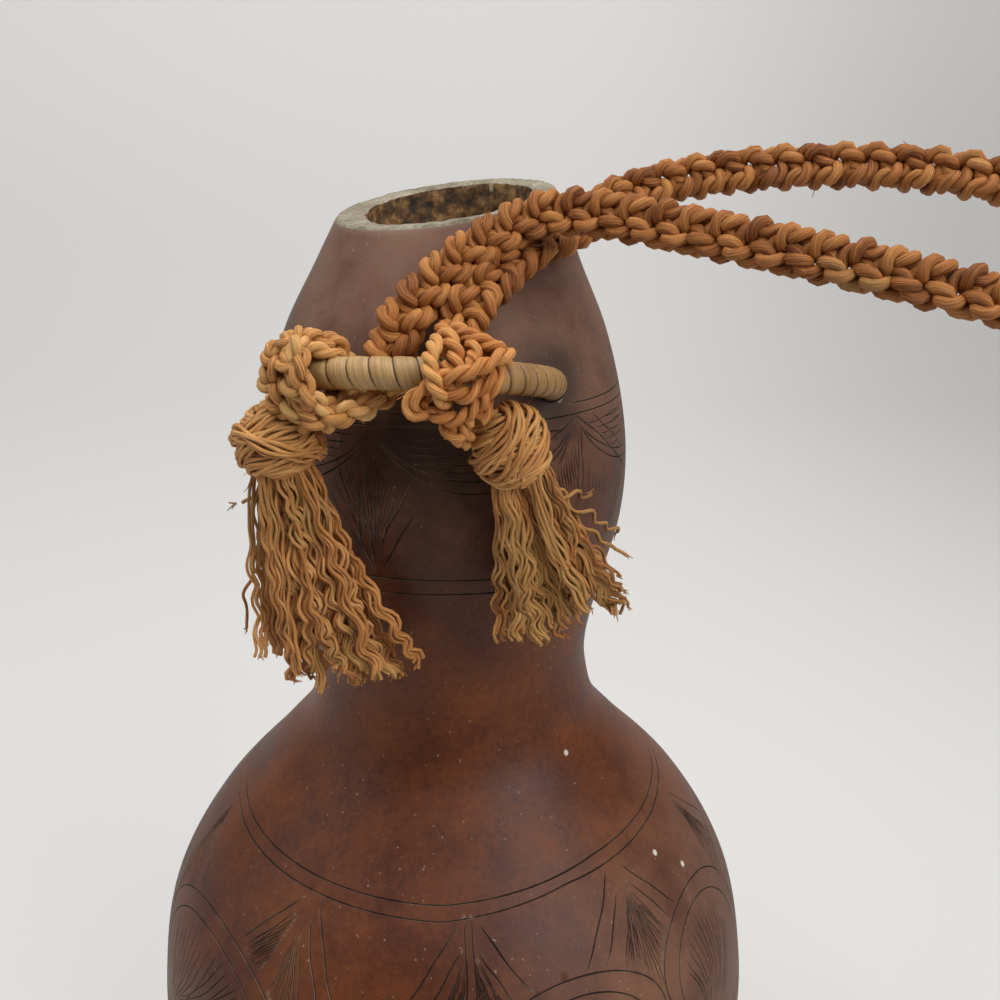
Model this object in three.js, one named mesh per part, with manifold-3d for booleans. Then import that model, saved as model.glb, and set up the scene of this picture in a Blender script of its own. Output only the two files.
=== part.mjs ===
// Dried bottle gourd made into a vessel: a hollow shell with an incised skin, a bent cane bail
// let into its upper bulb, and a braided strap hitched to the bail, its two ends bound into
// knobs with tassels. Millimetres, +Z up, origin at the centre of the flat spot it stands on.

import * as THREE from "three";
import { mergeVertices } from "three/addons/utils/BufferGeometryUtils.js";
import Module from "manifold-3d";

const wasm = await Module();
wasm.setup();

// Driving dimensions of the gourd
const BASE_RADIUS = 40; // flat spot that it stands on
const BULB_RADIUS = 113.4; // lower bulb
const BULB_HEIGHT = 101; // widest level of the lower bulb
const WAIST_RADIUS = 49.2;
const WAIST_HEIGHT = 244;
const SHOULDER_RADIUS = 61.2; // upper bulb
const SHOULDER_HEIGHT = 315;
const MOUTH_RADIUS = 35.3;
const MOUTH_HEIGHT = 395.4; // rim on the gourd's axis
const MOUTH_FALL_X = 0.12; // the hand-cut rim falls to the left
const MOUTH_FALL_Y = 0.15; // and to the front
const MOUTH_HOLE_RADIUS = 28.3;
const MOUTH_HOLE_OFFSET = 3.7; // the hole is off centre, so the lip is thick on the left
const MOUTH_HOLE_DEPTH = 44;
const MOUTH_HOLE_TAPER = 2.5; // narrower at its lower end
const WALL = 5.2;
const FLOOR = 6.2;
const NECK_BORE_RADIUS = 24.3; // inside the thick neck, before the mouth is opened out
const SHELL_SIDES = 52;
const CAVITY_SIDES = 32;

// Driving dimensions of the bail
const BAIL_RADIUS = 4.5; // over its wrapping
const CANE_RADIUS = 3.2;
const BAIL_LEVEL = 333.6; // level of the hoop's plane on the gourd's axis
const BAIL_FALL_X = -0.026;
const BAIL_FALL_Y = -0.277; // the hoop rises towards the front
const BAIL_HOLE_RADIUS = 5.2;
const BAIL_HOLES = [[0, 0.14], [0.87, 1]]; // the shares of the hoop that pass through the wall
const WRAP_SEAM_DEPTH = 0.45;

// Driving dimensions of the strap, knobs and tassels
const STRAP_RADIUS = 7;
const STRAP_STEPS = 80;
const STRAP_SIDES = 8;
const HITCH_CORD_RADIUS = 4.2;
const STRAND_RADIUS = 1.25;
const STRANDS = 20;
const COLLAR = { topRadius: 7.5, bottomRadius: 6.8, height: 12 }; // where a tassel's strands meet
const GAP = 0.3; // clearance between pieces that touch

const COLOURS = {
  shell: 0x5e2f22,
  cane: 0xa9875a,
  wrapping: 0xb08f5e,
  cord: 0xa8642f,
  knob: 0xa27440,
};

// Small helpers

function vector(x, y, z) {
  return new THREE.Vector3(x, y, z);
}

function seededRandom(seed) {
  let state = seed;
  return function next() {
    state = (state * 1664525 + 1013904223) % 4294967296;
    return state / 4294967296;
  };
}

function weldedGeometry(geometry) {
  const bare = geometry.clone();
  bare.deleteAttribute("normal");
  bare.deleteAttribute("uv");
  return mergeVertices(bare, 1e-3);
}

function solidOf(geometry) {
  const welded = weldedGeometry(geometry);
  const index = welded.index.array;
  const triangles = [];
  for (let i = 0; i < index.length; i += 3) {
    const [a, b, c] = [index[i], index[i + 1], index[i + 2]];
    if (a !== b && b !== c && c !== a) triangles.push(a, b, c);
  }
  const mesh = new wasm.Mesh({
    numProp: 3,
    vertProperties: new Float32Array(welded.attributes.position.array),
    triVerts: new Uint32Array(triangles),
  });
  return new wasm.Manifold(mesh);
}

function geometryOf(solid) {
  const mesh = solid.getMesh();
  const geometry = new THREE.BufferGeometry();
  geometry.setAttribute("position", new THREE.BufferAttribute(mesh.vertProperties, 3));
  geometry.setIndex(new THREE.BufferAttribute(mesh.triVerts, 1));
  geometry.computeVertexNormals();
  return geometry;
}

function union(solids) {
  return solids.reduce((whole, solid) => whole.add(solid));
}

function turned(profile, sides) {
  const geometry = new THREE.LatheGeometry(profile, sides);
  geometry.rotateX(Math.PI / 2);
  return geometry;
}

function ringShape(radius, sides) {
  const shape = new THREE.Shape();
  for (let i = 0; i < sides; i += 1) {
    const angle = (2 * Math.PI * i) / sides;
    const x = radius * Math.cos(angle);
    const y = radius * Math.sin(angle);
    if (i === 0) shape.moveTo(x, y);
    else shape.lineTo(x, y);
  }
  shape.closePath();
  return shape;
}

function rod(curve, radius, sides, steps) {
  return new THREE.ExtrudeGeometry(ringShape(radius, sides), {
    steps,
    bevelEnabled: false,
    extrudePath: curve,
  });
}

function placedAlong(geometry, direction, position) {
  const turn = new THREE.Quaternion().setFromUnitVectors(vector(0, 0, 1), direction.clone().normalize());
  geometry.applyQuaternion(turn);
  geometry.translate(position.x, position.y, position.z);
  return geometry;
}

// Gourd shell

const OUTLINE = new THREE.CatmullRomCurve3([
  vector(BASE_RADIUS, 0, 0),
  vector(63, 9, 0),
  vector(86, 28, 0),
  vector(104, 56, 0),
  vector(BULB_RADIUS - 1, BULB_HEIGHT - 18, 0),
  vector(BULB_RADIUS, BULB_HEIGHT, 0),
  vector(BULB_RADIUS - 0.6, BULB_HEIGHT + 17, 0),
  vector(107.7, 146, 0),
  vector(92.3, 172.5, 0),
  vector(68.1, 199, 0),
  vector(54, 217, 0),
  vector(WAIST_RADIUS + 0.5, WAIST_HEIGHT - 11, 0),
  vector(WAIST_RADIUS, WAIST_HEIGHT, 0),
  vector(54.2, 270, 0),
  vector(59.8, 293, 0),
  vector(SHOULDER_RADIUS, SHOULDER_HEIGHT, 0),
  vector(58.6, 337, 0),
  vector(53.1, 357, 0),
  vector(43.6, 377, 0),
  vector(MOUTH_RADIUS, MOUTH_HEIGHT, 0),
  vector(28.5, MOUTH_HEIGHT + 14, 0),
]);
const OUTLINE_STEPS = 26;
const CAVITY_STEPS = 16;
const CAVITY_TOP = 362; // above this level the wall thickens into the lip
const RIM_NORMAL = vector(-MOUTH_FALL_X, -MOUTH_FALL_Y, 1).normalize();
const RIM_CENTRE = vector(0, 0, MOUTH_HEIGHT);

function flat(point) {
  return new THREE.Vector2(point.x, point.y);
}

function outerProfile(growth) {
  const points = [new THREE.Vector2(0, -growth)];
  for (let i = 0; i <= OUTLINE_STEPS; i += 1) {
    const point = flat(OUTLINE.getPointAt(i / OUTLINE_STEPS));
    const tangent = flat(OUTLINE.getTangentAt(i / OUTLINE_STEPS));
    points.push(new THREE.Vector2(point.x + growth * tangent.y, point.y - growth * tangent.x));
  }
  points.push(new THREE.Vector2(0, MOUTH_HEIGHT + 14 + growth));
  return points;
}

function cavityProfile() {
  const points = [new THREE.Vector2(0, FLOOR)];
  points.push(new THREE.Vector2(BASE_RADIUS - FLOOR, FLOOR));
  for (let i = 2; i <= CAVITY_STEPS; i += 1) {
    const point = flat(OUTLINE.getPointAt(i / CAVITY_STEPS));
    if (point.y > CAVITY_TOP) break;
    const tangent = flat(OUTLINE.getTangentAt(i / CAVITY_STEPS));
    points.push(new THREE.Vector2(point.x - WALL * tangent.y, point.y + WALL * tangent.x));
  }
  points.push(new THREE.Vector2(34, CAVITY_TOP + 12));
  points.push(new THREE.Vector2(NECK_BORE_RADIUS, CAVITY_TOP + 22));
  points.push(new THREE.Vector2(NECK_BORE_RADIUS, MOUTH_HEIGHT + 20));
  points.push(new THREE.Vector2(0, MOUTH_HEIGHT + 20));
  return points;
}

function gourdOutside(growth) {
  return solidOf(turned(outerProfile(growth), SHELL_SIDES));
}

function mouthHole() {
  const lowerRadius = MOUTH_HOLE_RADIUS - MOUTH_HOLE_TAPER;
  const hole = new THREE.CylinderGeometry(MOUTH_HOLE_RADIUS, lowerRadius, MOUTH_HOLE_DEPTH, CAVITY_SIDES);
  hole.rotateX(Math.PI / 2);
  return placedAlong(hole, RIM_NORMAL, vector(MOUTH_HOLE_OFFSET, 0, MOUTH_HEIGHT));
}

// What the knife takes off above the rim
function cutAwayTop() {
  const width = 3 * SHOULDER_RADIUS;
  const block = new THREE.BoxGeometry(width, width, SHOULDER_RADIUS);
  block.translate(0, 0, SHOULDER_RADIUS / 2);
  return placedAlong(block, RIM_NORMAL, RIM_CENTRE);
}

function gourdShell() {
  let shell = gourdOutside(0)
    .subtract(solidOf(turned(cavityProfile(), CAVITY_SIDES)))
    .subtract(solidOf(mouthHole()))
    .subtract(solidOf(cutAwayTop()));
  for (const [from, to] of BAIL_HOLES) {
    shell = shell.subtract(solidOf(rod(bailStretch(from, to), BAIL_HOLE_RADIUS, 14, 4)));
  }
  return shell;
}

// Bail: a cane bent round into a hoop, its ends let into two holes in the upper bulb

function onBailPlane(x, y) {
  return vector(x, y, BAIL_LEVEL + BAIL_FALL_X * x + BAIL_FALL_Y * y);
}

const BAIL = new THREE.CatmullRomCurve3([
  onBailPlane(-39, -18),
  onBailPlane(-44, -25),
  onBailPlane(-47.5, -33),
  onBailPlane(-48, -43),
  onBailPlane(-43.5, -56),
  onBailPlane(-31, -69),
  onBailPlane(-12, -77.5),
  onBailPlane(8, -77),
  onBailPlane(23, -69.5),
  onBailPlane(31, -59),
  onBailPlane(33, -47.5),
  onBailPlane(31, -39),
  onBailPlane(27.5, -32),
]);
const WRAP_START = 0.075; // the wrapping ends inside the wall, the cane runs on into the bulb
const WRAP_END = 0.93;
const CANE_START = 0.015;
const CANE_END = 0.985;
const WRAP_STEPS = 34;
const WRAP_SIDES = 10;

function bailStretch(from, to) {
  const points = [];
  for (let i = 0; i <= 24; i += 1) {
    points.push(BAIL.getPointAt(from + ((to - from) * i) / 24));
  }
  return new THREE.CatmullRomCurve3(points);
}

function bailCore() {
  return rod(bailStretch(CANE_START, CANE_END), CANE_RADIUS, WRAP_SIDES, 26);
}

function bailWrap() {
  const shape = ringShape(BAIL_RADIUS, WRAP_SIDES);
  shape.holes.push(ringShape(CANE_RADIUS + GAP, WRAP_SIDES));
  const curve = bailStretch(WRAP_START, WRAP_END);
  const geometry = new THREE.ExtrudeGeometry(shape, {
    steps: WRAP_STEPS,
    bevelEnabled: false,
    extrudePath: curve,
  });
  pressSeams(geometry, curve);
  return geometry;
}

// Every second ring of the sleeve's outside is pressed in, as the seam between two turns
function pressSeams(geometry, curve) {
  const stations = curve.getSpacedPoints(WRAP_STEPS);
  const position = geometry.attributes.position;
  const point = new THREE.Vector3();
  for (let i = 0; i < position.count; i += 1) {
    point.fromBufferAttribute(position, i);
    const reach = stations.map((station) => station.distanceTo(point));
    const nearest = reach.indexOf(Math.min(...reach));
    if (nearest % 2 === 1 && reach[nearest] > BAIL_RADIUS - 0.1) {
      point.sub(stations[nearest]).multiplyScalar(1 - WRAP_SEAM_DEPTH / BAIL_RADIUS);
      point.add(stations[nearest]);
      position.setXYZ(i, point.x, point.y, point.z);
    }
  }
}

// Strap: one braided cord from the left hitch over the shoulder, out to the right, down to the
// ground in a loop, and back up to the right hitch
const STRAP_ROUTE = [
  vector(-12.5, -63, 349),
  vector(-12, -61, 358),
  vector(-10, -58.5, 366.5),
  vector(5, -51, 382.5),
  vector(15.5, -46, 390),
  vector(29, -42.8, 396.2),
  vector(45, -46.8, 395.4),
  vector(60, -54.5, 392.5),
  vector(98, -76, 385),
  vector(138, -92, 376),
  vector(163, -99, 368),
  vector(187, -104, 354),
  vector(221, -108, 302),
  vector(229, -107, 262),
  vector(238, -100, 160),
  vector(247, -93, 62),
  vector(259, -90, 26),
  vector(281, -88, 9.8),
  vector(305, -86, 8),
  vector(331, -76, 8),
  vector(343, -50, 8),
  vector(332, -24, 8),
  vector(306, -13, 8),
  vector(283, -12, 9.8),
  vector(264, -14, 27),
  vector(254, -17, 62),
  vector(246, -25, 160),
  vector(240, -36, 262),
  vector(233, -42, 308),
  vector(204, -47, 375),
  vector(183, -44, 394),
  vector(160, -36.5, 402.5),
  vector(125, -18.5, 406.5),
  vector(80, -9, 403.5),
  vector(53, -13, 396.5),
  vector(45, -21.2, 390.3),
  vector(29.5, -41.2, 380.8),
  vector(13.5, -57.5, 367.5),
  vector(9.5, -61, 359),
  vector(8.5, -63.5, 349),
];
const STRAP = new THREE.CatmullRomCurve3(STRAP_ROUTE);

// Hitches: turns of the braid round the bail, with the lobe that passes beneath it

function turnsRoundBail(stations) {
  return stations.map(([place, lean]) => {
    const torus = new THREE.TorusGeometry(BAIL_RADIUS + GAP + HITCH_CORD_RADIUS, HITCH_CORD_RADIUS, 5, 12);
    torus.rotateX(lean);
    return solidOf(placedAlong(torus, BAIL.getTangentAt(place), BAIL.getPointAt(place)));
  });
}

function hitch(stations, lobePoints, knob) {
  const lobe = solidOf(rod(new THREE.CatmullRomCurve3(lobePoints), STRAP_RADIUS - 1, 8, 8));
  const whole = union([...turnsRoundBail(stations), lobe])
    .subtract(solidOf(rod(bailStretch(0, 1), BAIL_RADIUS + GAP, WRAP_SIDES, 60)))
    .subtract(solidOf(rod(STRAP, STRAP_RADIUS + GAP, STRAP_SIDES, STRAP_STEPS)))
    .subtract(gourdOutside(GAP))
    .subtract(knobSolid(knob, GAP));
  return largest(whole);
}

function largest(solid) {
  const pieces = solid.decompose();
  return pieces.reduce((best, piece) => (piece.volume() > best.volume() ? piece : best));
}

// Knobs: the bound ends of the braid, ribbed by the turns of the binding
const KNOB_LEFT = {
  centre: vector(-43.5, -66.5, 334.5),
  direction: vector(0.1, 0.02, -1),
  radius: 11,
  half: 11,
};
const KNOB_RIGHT = {
  centre: vector(19.5, -70.5, 335.5),
  direction: vector(0.42, -0.02, -0.9),
  radius: 10.8,
  half: 11.5,
};
const KNOB_RIBS = 4;
const KNOB_STEPS = 16;

function knobGeometry(knob, growth) {
  const profile = [];
  for (let i = 0; i <= KNOB_STEPS; i += 1) {
    const angle = -Math.PI / 2 + (Math.PI * i) / KNOB_STEPS;
    const ribs = 1 + 0.04 * Math.cos((2 * Math.PI * KNOB_RIBS * i) / KNOB_STEPS);
    const x = i === 0 || i === KNOB_STEPS ? 0 : (knob.radius + growth) * Math.cos(angle) * ribs;
    profile.push(new THREE.Vector2(x, (knob.half + growth) * Math.sin(angle)));
  }
  return placedAlong(turned(profile, 14), knob.direction, knob.centre);
}

function knobSolid(knob, growth) {
  return solidOf(knobGeometry(knob, growth));
}

// Tassels: the unlaid strands of each end, which fan out below the knob
const TASSEL_LEFT = {
  knob: KNOB_LEFT,
  seed: 11,
  rootRadius: 6.5,
  tips: vector(-34.5, -66, 262),
  spreadX: 22,
  spreadY: 9,
  drop: 10,
  lift: 0,
};
const TASSEL_RIGHT = {
  knob: KNOB_RIGHT,
  seed: 23,
  rootRadius: 6.5,
  tips: vector(37.5, -68, 284),
  spreadX: 15,
  spreadY: 7,
  drop: 7,
  lift: 0.35,
};

function clearOfShell(point) {
  const reach = Math.hypot(point.x, point.y);
  const nearby = OUTLINE.getSpacedPoints(90).filter((p) => Math.abs(p.y - point.z) < 9);
  const widest = Math.max(...nearby.map((p) => p.x)) + STRAND_RADIUS + 1.2;
  if (reach >= widest) return point;
  return vector((point.x * widest) / reach, (point.y * widest) / reach, point.z);
}

function strandPath(tassel, random, order) {
  const axis = tassel.knob.direction.clone().normalize();
  const root = tassel.knob.centre.clone().addScaledVector(axis, tassel.knob.half - 3.5);
  const turn = order * 2.39996;
  const out = Math.sqrt((order + 0.5) / STRANDS);
  const side = vector(Math.cos(turn) * out, Math.sin(turn) * out, 0);
  const start = root.clone().addScaledVector(side, tassel.rootRadius);
  const tip = tassel.tips.clone();
  tip.x += side.x * tassel.spreadX;
  tip.y += side.y * tassel.spreadY;
  tip.z += (random() - 0.5) * 2 * tassel.drop + tassel.lift * side.x * tassel.spreadX;
  const wave = 0.8 + 0.9 * random();
  const phase = 2 * Math.PI * random();
  const points = [start];
  for (let i = 1; i <= 6; i += 1) {
    const share = i / 6;
    const point = start.clone().lerp(tip, share);
    point.x += wave * Math.sin(phase + 9 * share);
    point.y += wave * Math.cos(phase + 9 * share);
    point.z += 2.5 * Math.sin(Math.PI * share);
    points.push(clearOfShell(point));
  }
  return new THREE.CatmullRomCurve3(points);
}

function tasselSolid(tassel) {
  const random = seededRandom(tassel.seed);
  const collar = new THREE.CylinderGeometry(COLLAR.topRadius, COLLAR.bottomRadius, COLLAR.height, 12);
  collar.rotateX(Math.PI / 2);
  const axis = tassel.knob.direction.clone().normalize();
  const seat = tassel.knob.centre.clone().addScaledVector(axis, tassel.knob.half - 0.5);
  const solids = [solidOf(placedAlong(collar, axis, seat))];
  for (let order = 0; order < STRANDS; order += 1) {
    solids.push(solidOf(rod(strandPath(tassel, random, order), STRAND_RADIUS, 4, 8)));
  }
  return largest(union(solids).subtract(knobSolid(tassel.knob, GAP)).subtract(gourdOutside(GAP)));
}

// Assembly

const MATERIALS = {
  shell: new THREE.MeshStandardMaterial({ color: COLOURS.shell, roughness: 0.42, metalness: 0 }),
  cane: new THREE.MeshStandardMaterial({ color: COLOURS.cane, roughness: 0.7, metalness: 0 }),
  wrapping: new THREE.MeshStandardMaterial({ color: COLOURS.wrapping, roughness: 0.6, metalness: 0 }),
  cord: new THREE.MeshStandardMaterial({ color: COLOURS.cord, roughness: 0.85, metalness: 0 }),
  knob: new THREE.MeshStandardMaterial({ color: COLOURS.knob, roughness: 0.85, metalness: 0 }),
};

const vessel = new THREE.Group();

function addPiece(name, geometry, material) {
  const mesh = new THREE.Mesh(geometry, material);
  mesh.name = name;
  vessel.add(mesh);
}

const LEFT_TURNS = [
  [0.27, 0.2],
  [0.33, -0.18],
  [0.39, 0.22],
  [0.445, -0.12],
];
const LEFT_LOBE = [
  vector(-12.5, -62.6, 351),
  vector(-13.5, -65, 342.5),
  vector(-19, -71, 340),
  vector(-27, -74, 343),
  vector(-31, -77, 350),
];
const RIGHT_TURNS = [
  [0.575, 0.2],
  [0.635, -0.16],
  [0.695, 0.14],
];
const RIGHT_LOBE = [
  vector(8.5, -63.2, 351),
  vector(9, -65.5, 342.5),
  vector(7, -72, 340),
  vector(3, -80, 343),
  vector(1, -85, 350),
];

addPiece("gourd_shell", geometryOf(gourdShell()), MATERIALS.shell);
addPiece("bail_core", bailCore(), MATERIALS.cane);
addPiece("bail_wrap", bailWrap(), MATERIALS.wrapping);
addPiece("strap_cord", rod(STRAP, STRAP_RADIUS, STRAP_SIDES, STRAP_STEPS), MATERIALS.cord);
addPiece("hitch_left", geometryOf(hitch(LEFT_TURNS, LEFT_LOBE, KNOB_LEFT)), MATERIALS.cord);
addPiece("hitch_right", geometryOf(hitch(RIGHT_TURNS, RIGHT_LOBE, KNOB_RIGHT)), MATERIALS.cord);
addPiece("knob_left", knobGeometry(KNOB_LEFT, 0), MATERIALS.knob);
addPiece("knob_right", knobGeometry(KNOB_RIGHT, 0), MATERIALS.knob);
addPiece("tassel_left", geometryOf(tasselSolid(TASSEL_LEFT)), MATERIALS.cord);
addPiece("tassel_right", geometryOf(tasselSolid(TASSEL_RIGHT)), MATERIALS.cord);

export default vessel;
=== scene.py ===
import math
import random

import bmesh
import bpy
import numpy as np
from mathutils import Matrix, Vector, noise
from mathutils.geometry import delaunay_2d_cdt
from mathutils.kdtree import KDTree


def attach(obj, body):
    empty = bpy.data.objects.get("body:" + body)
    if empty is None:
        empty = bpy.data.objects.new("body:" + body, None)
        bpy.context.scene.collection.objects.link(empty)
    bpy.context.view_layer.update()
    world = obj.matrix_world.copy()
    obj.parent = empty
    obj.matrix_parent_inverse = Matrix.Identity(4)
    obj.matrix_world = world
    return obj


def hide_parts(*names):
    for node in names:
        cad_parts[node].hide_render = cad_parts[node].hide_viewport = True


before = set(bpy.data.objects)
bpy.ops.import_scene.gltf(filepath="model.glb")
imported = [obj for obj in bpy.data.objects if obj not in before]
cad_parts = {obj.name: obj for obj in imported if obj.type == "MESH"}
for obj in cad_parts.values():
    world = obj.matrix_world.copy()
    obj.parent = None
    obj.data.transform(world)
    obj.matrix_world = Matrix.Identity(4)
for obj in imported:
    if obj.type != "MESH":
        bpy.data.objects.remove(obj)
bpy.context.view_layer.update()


# Camera
# It stands a little above the bail and looks down at the front of the gourd, as the photograph
# does: the outline of both bulbs gives a field of view of 53 degrees and 18.5 degrees of pitch.

CAMERA_PLACE = (0.018, -0.335, 0.4067)
CAMERA_PITCH = 18.5

camera_data = bpy.data.cameras.new("camera")
camera_data.sensor_width = 36
camera_data.lens = 36
camera = bpy.data.objects.new("camera", camera_data)
camera.location = CAMERA_PLACE
camera.rotation_euler = (math.radians(90 - CAMERA_PITCH), 0, 0)
bpy.context.scene.collection.objects.link(camera)
bpy.context.scene.camera = camera
bpy.context.scene.view_settings.view_transform = "Standard"


# Strap
# A plait of three strands, each of two plies of twisted plant fibre. It leaves the left hitch behind
# the bail, goes out to the right and down to the ground in a fold, and comes back to the right hitch.

STRAP_ROUTE = [
    (-0.0125, -0.063, 0.349), (-0.0118, -0.061, 0.358), (-0.0086, -0.0585, 0.3662),
    (0.0058, -0.051, 0.3812), (0.0165, -0.0462, 0.3880), (0.030, -0.0432, 0.3936),
    (0.045, -0.0468, 0.3940), (0.060, -0.0545, 0.3918), (0.098, -0.076, 0.385),
    (0.138, -0.092, 0.376), (0.163, -0.099, 0.368), (0.187, -0.104, 0.354),
    (0.221, -0.108, 0.302), (0.229, -0.107, 0.262), (0.238, -0.100, 0.160),
    (0.247, -0.093, 0.062), (0.259, -0.090, 0.026), (0.281, -0.088, 0.0098),
    (0.305, -0.086, 0.008), (0.331, -0.076, 0.008), (0.343, -0.050, 0.008),
    (0.332, -0.024, 0.008), (0.306, -0.013, 0.008), (0.283, -0.012, 0.0098),
    (0.264, -0.014, 0.027), (0.254, -0.017, 0.062), (0.246, -0.025, 0.160),
    (0.240, -0.036, 0.262), (0.233, -0.042, 0.308), (0.204, -0.047, 0.375),
    (0.183, -0.044, 0.394), (0.160, -0.0365, 0.4025), (0.125, -0.0185, 0.4065),
    (0.080, -0.009, 0.4035), (0.053, -0.013, 0.3965), (0.044, -0.0212, 0.3903),
    (0.0246, -0.0425, 0.3826), (0.0090, -0.0575, 0.3684), (0.0070, -0.061, 0.359),
    (0.0070, -0.0635, 0.349),
]
STRAP_FACE = (0, -0.94, 0.33)  # the broad side of the plait looks this way
PLAIT_WIDTH = 0.0046
PLAIT_THICKNESS = 0.0025
PLAIT_PITCH = 0.0262
PLY_RADIUS = 0.00156
PLY_LAY = 0.0098
PLY_PRESS = 0.82  # a strand is flattened to this share of its width
CORD_STEP = 0.0012

numbers = random.Random(7)  # the fibre work draws from this in the order in which it is laid


def smooth_line(points, step):
    """Points at equal steps on a centripetal Catmull-Rom curve through the given points."""
    given = np.asarray(points, float)
    whole = np.vstack([2 * given[0] - given[1], given, 2 * given[-1] - given[-2]])
    dense = []
    for i in range(1, len(whole) - 2):
        a, b, c, d = whole[i - 1:i + 3]
        ta = 0.0
        tb = ta + math.sqrt(np.linalg.norm(b - a))
        tc = tb + math.sqrt(np.linalg.norm(c - b))
        td = tc + math.sqrt(np.linalg.norm(d - c))
        t = np.linspace(tb, tc, 60, endpoint=False)[:, None]
        ab = (tb - t) / (tb - ta) * a + (t - ta) / (tb - ta) * b
        bc = (tc - t) / (tc - tb) * b + (t - tb) / (tc - tb) * c
        cd = (td - t) / (td - tc) * c + (t - tc) / (td - tc) * d
        abc = (tc - t) / (tc - ta) * ab + (t - ta) / (tc - ta) * bc
        bcd = (td - t) / (td - tb) * bc + (t - tb) / (td - tb) * cd
        dense.append((tc - t) / (tc - tb) * abc + (t - tb) / (tc - tb) * bcd)
    dense = np.vstack(dense + [given[-1:]])
    return equal_steps(dense, step)


def equal_steps(line, step):
    reach = length_along(line)
    count = max(2, int(round(reach[-1] / step)) + 1)
    places = np.linspace(0, reach[-1], count)
    return np.stack([np.interp(places, reach, line[:, k]) for k in range(3)], axis=1)


def length_along(line):
    steps = np.linalg.norm(np.diff(line, axis=0), axis=1)
    return np.concatenate([[0.0], np.cumsum(steps)])


def unit(rows):
    return rows / np.maximum(np.linalg.norm(rows, axis=1, keepdims=True), 1e-12)


def side_frames(line, face):
    """Tangent, broad direction and face direction at each point; face is one vector or one per point."""
    tangent = unit(np.gradient(line, axis=0))
    facing = np.broadcast_to(np.asarray(face, float), line.shape)
    normal = unit(facing - tangent * np.sum(facing * tangent, axis=1, keepdims=True))
    return tangent, np.cross(tangent, normal), normal


def two_plies(line, radius, lay, face=(0.31, 0.52, 0.79), press=1.0, start=0.0, tone=0.5):
    """A strand of two plies twisted once per lay; press under 1 flattens it square to its face."""
    reach = length_along(line)
    _, side, other = side_frames(line, face)
    radii = np.broadcast_to(np.asarray(radius, float), reach.shape)
    plies = []
    for turn in (0, math.pi):
        angle = (start + turn + 2 * math.pi * reach / lay)[:, None]
        offset = (np.cos(angle) * side + press * np.sin(angle) * other) * (radii * 0.92)[:, None]
        shade = min(1.0, max(0.0, tone + numbers.uniform(-0.22, 0.22)))
        plies.append((line + offset, radii, shade))
    return plies


def plait(line, face, width, thickness, pitch, ply_radius, scale=1.0, start=0.0, step=CORD_STEP):
    """Three strands of two plies each, plaited along line; scale narrows it point by point."""
    reach = length_along(line)
    _, broad, normal = side_frames(line, face)
    size = np.broadcast_to(np.asarray(scale, float), reach.shape)
    plies = []
    for strand in range(3):
        phase = start + 2 * math.pi * (reach / pitch + strand / 3)
        across = (width * (np.sin(phase) + 0.13 * np.sin(3 * phase)) * size)[:, None]
        over = (thickness * np.sin(2 * phase) * size)[:, None]
        path = equal_steps(line + across * broad + over * normal, step)
        share = np.linspace(0, 1, len(path))
        facing = np.stack([np.interp(share, reach / reach[-1], normal[:, k]) for k in range(3)], axis=1)
        radius = ply_radius * np.interp(share, reach / reach[-1], size)
        tone = numbers.uniform(0.2, 0.8)
        plies += two_plies(path, radius, PLY_LAY, facing, PLY_PRESS, numbers.uniform(0, 6.28), tone)
    return plies


def cord_mesh(name, cords, roundness=2):
    """One mesh of many round cords, each a row of points, radii and tone, with a UV map along it."""
    scene = bpy.context.scene
    shape = bmesh.new()
    tone_layer = shape.verts.layers.float.new("tone")
    for points, radii, tone in cords:
        curve = bpy.data.curves.new("laying", "CURVE")
        curve.dimensions = "3D"
        curve.bevel_depth = 1.0
        curve.bevel_resolution = roundness
        curve.use_fill_caps = True
        spline = curve.splines.new("POLY")
        spline.points.add(len(points) - 1)
        spline.points.foreach_set("co", np.hstack([points, np.ones((len(points), 1))]).ravel())
        spline.points.foreach_set("radius", np.broadcast_to(radii, (len(points),)).astype(float))
        laying = bpy.data.objects.new("laying", curve)
        scene.collection.objects.link(laying)
        graph = bpy.context.evaluated_depsgraph_get()
        mesh = bpy.data.meshes.new_from_object(laying.evaluated_get(graph))
        uv = np.empty(len(mesh.loops) * 2)
        mesh.uv_layers[0].data.foreach_get("uv", uv)
        uv = uv.reshape(-1, 2)
        uv[:, 0] = uv[:, 0] * length_along(points)[-1] / 0.01 + numbers.uniform(0, 50)
        mesh.uv_layers[0].data.foreach_set("uv", uv.ravel())
        first = len(shape.verts)
        shape.from_mesh(mesh)
        shape.verts.ensure_lookup_table()
        for vertex in shape.verts[first:]:
            vertex[tone_layer] = tone
        bpy.data.objects.remove(laying)
        bpy.data.curves.remove(curve)
        bpy.data.meshes.remove(mesh)
    for face in shape.faces:
        face.smooth = True
    return new_piece(name, shape)


def new_piece(name, shape):
    """A piece with the mesh of a finished bmesh, at the origin."""
    mesh = bpy.data.meshes.new(name)
    shape.to_mesh(mesh)
    shape.free()
    piece = bpy.data.objects.new(name, mesh)
    bpy.context.scene.collection.objects.link(piece)
    return piece


def new_material(name):
    material = bpy.data.materials.new(name)
    material.use_nodes = True
    tree = material.node_tree
    return material, tree, tree.nodes["Principled BSDF"]


def feed(tree, socket, value):
    """Links a socket from another one, or sets it to a value."""
    if isinstance(value, bpy.types.NodeSocket):
        tree.links.new(value, socket)
    else:
        socket.default_value = value


def add_node(tree, kind, inputs=None, **settings):
    """A node with its settings, and inputs given as values or as sockets to link from."""
    node = tree.nodes.new(kind)
    for key, value in settings.items():
        setattr(node, key, value)
    for key, value in (inputs or {}).items():
        feed(tree, node.inputs[key], value)
    return node


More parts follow.
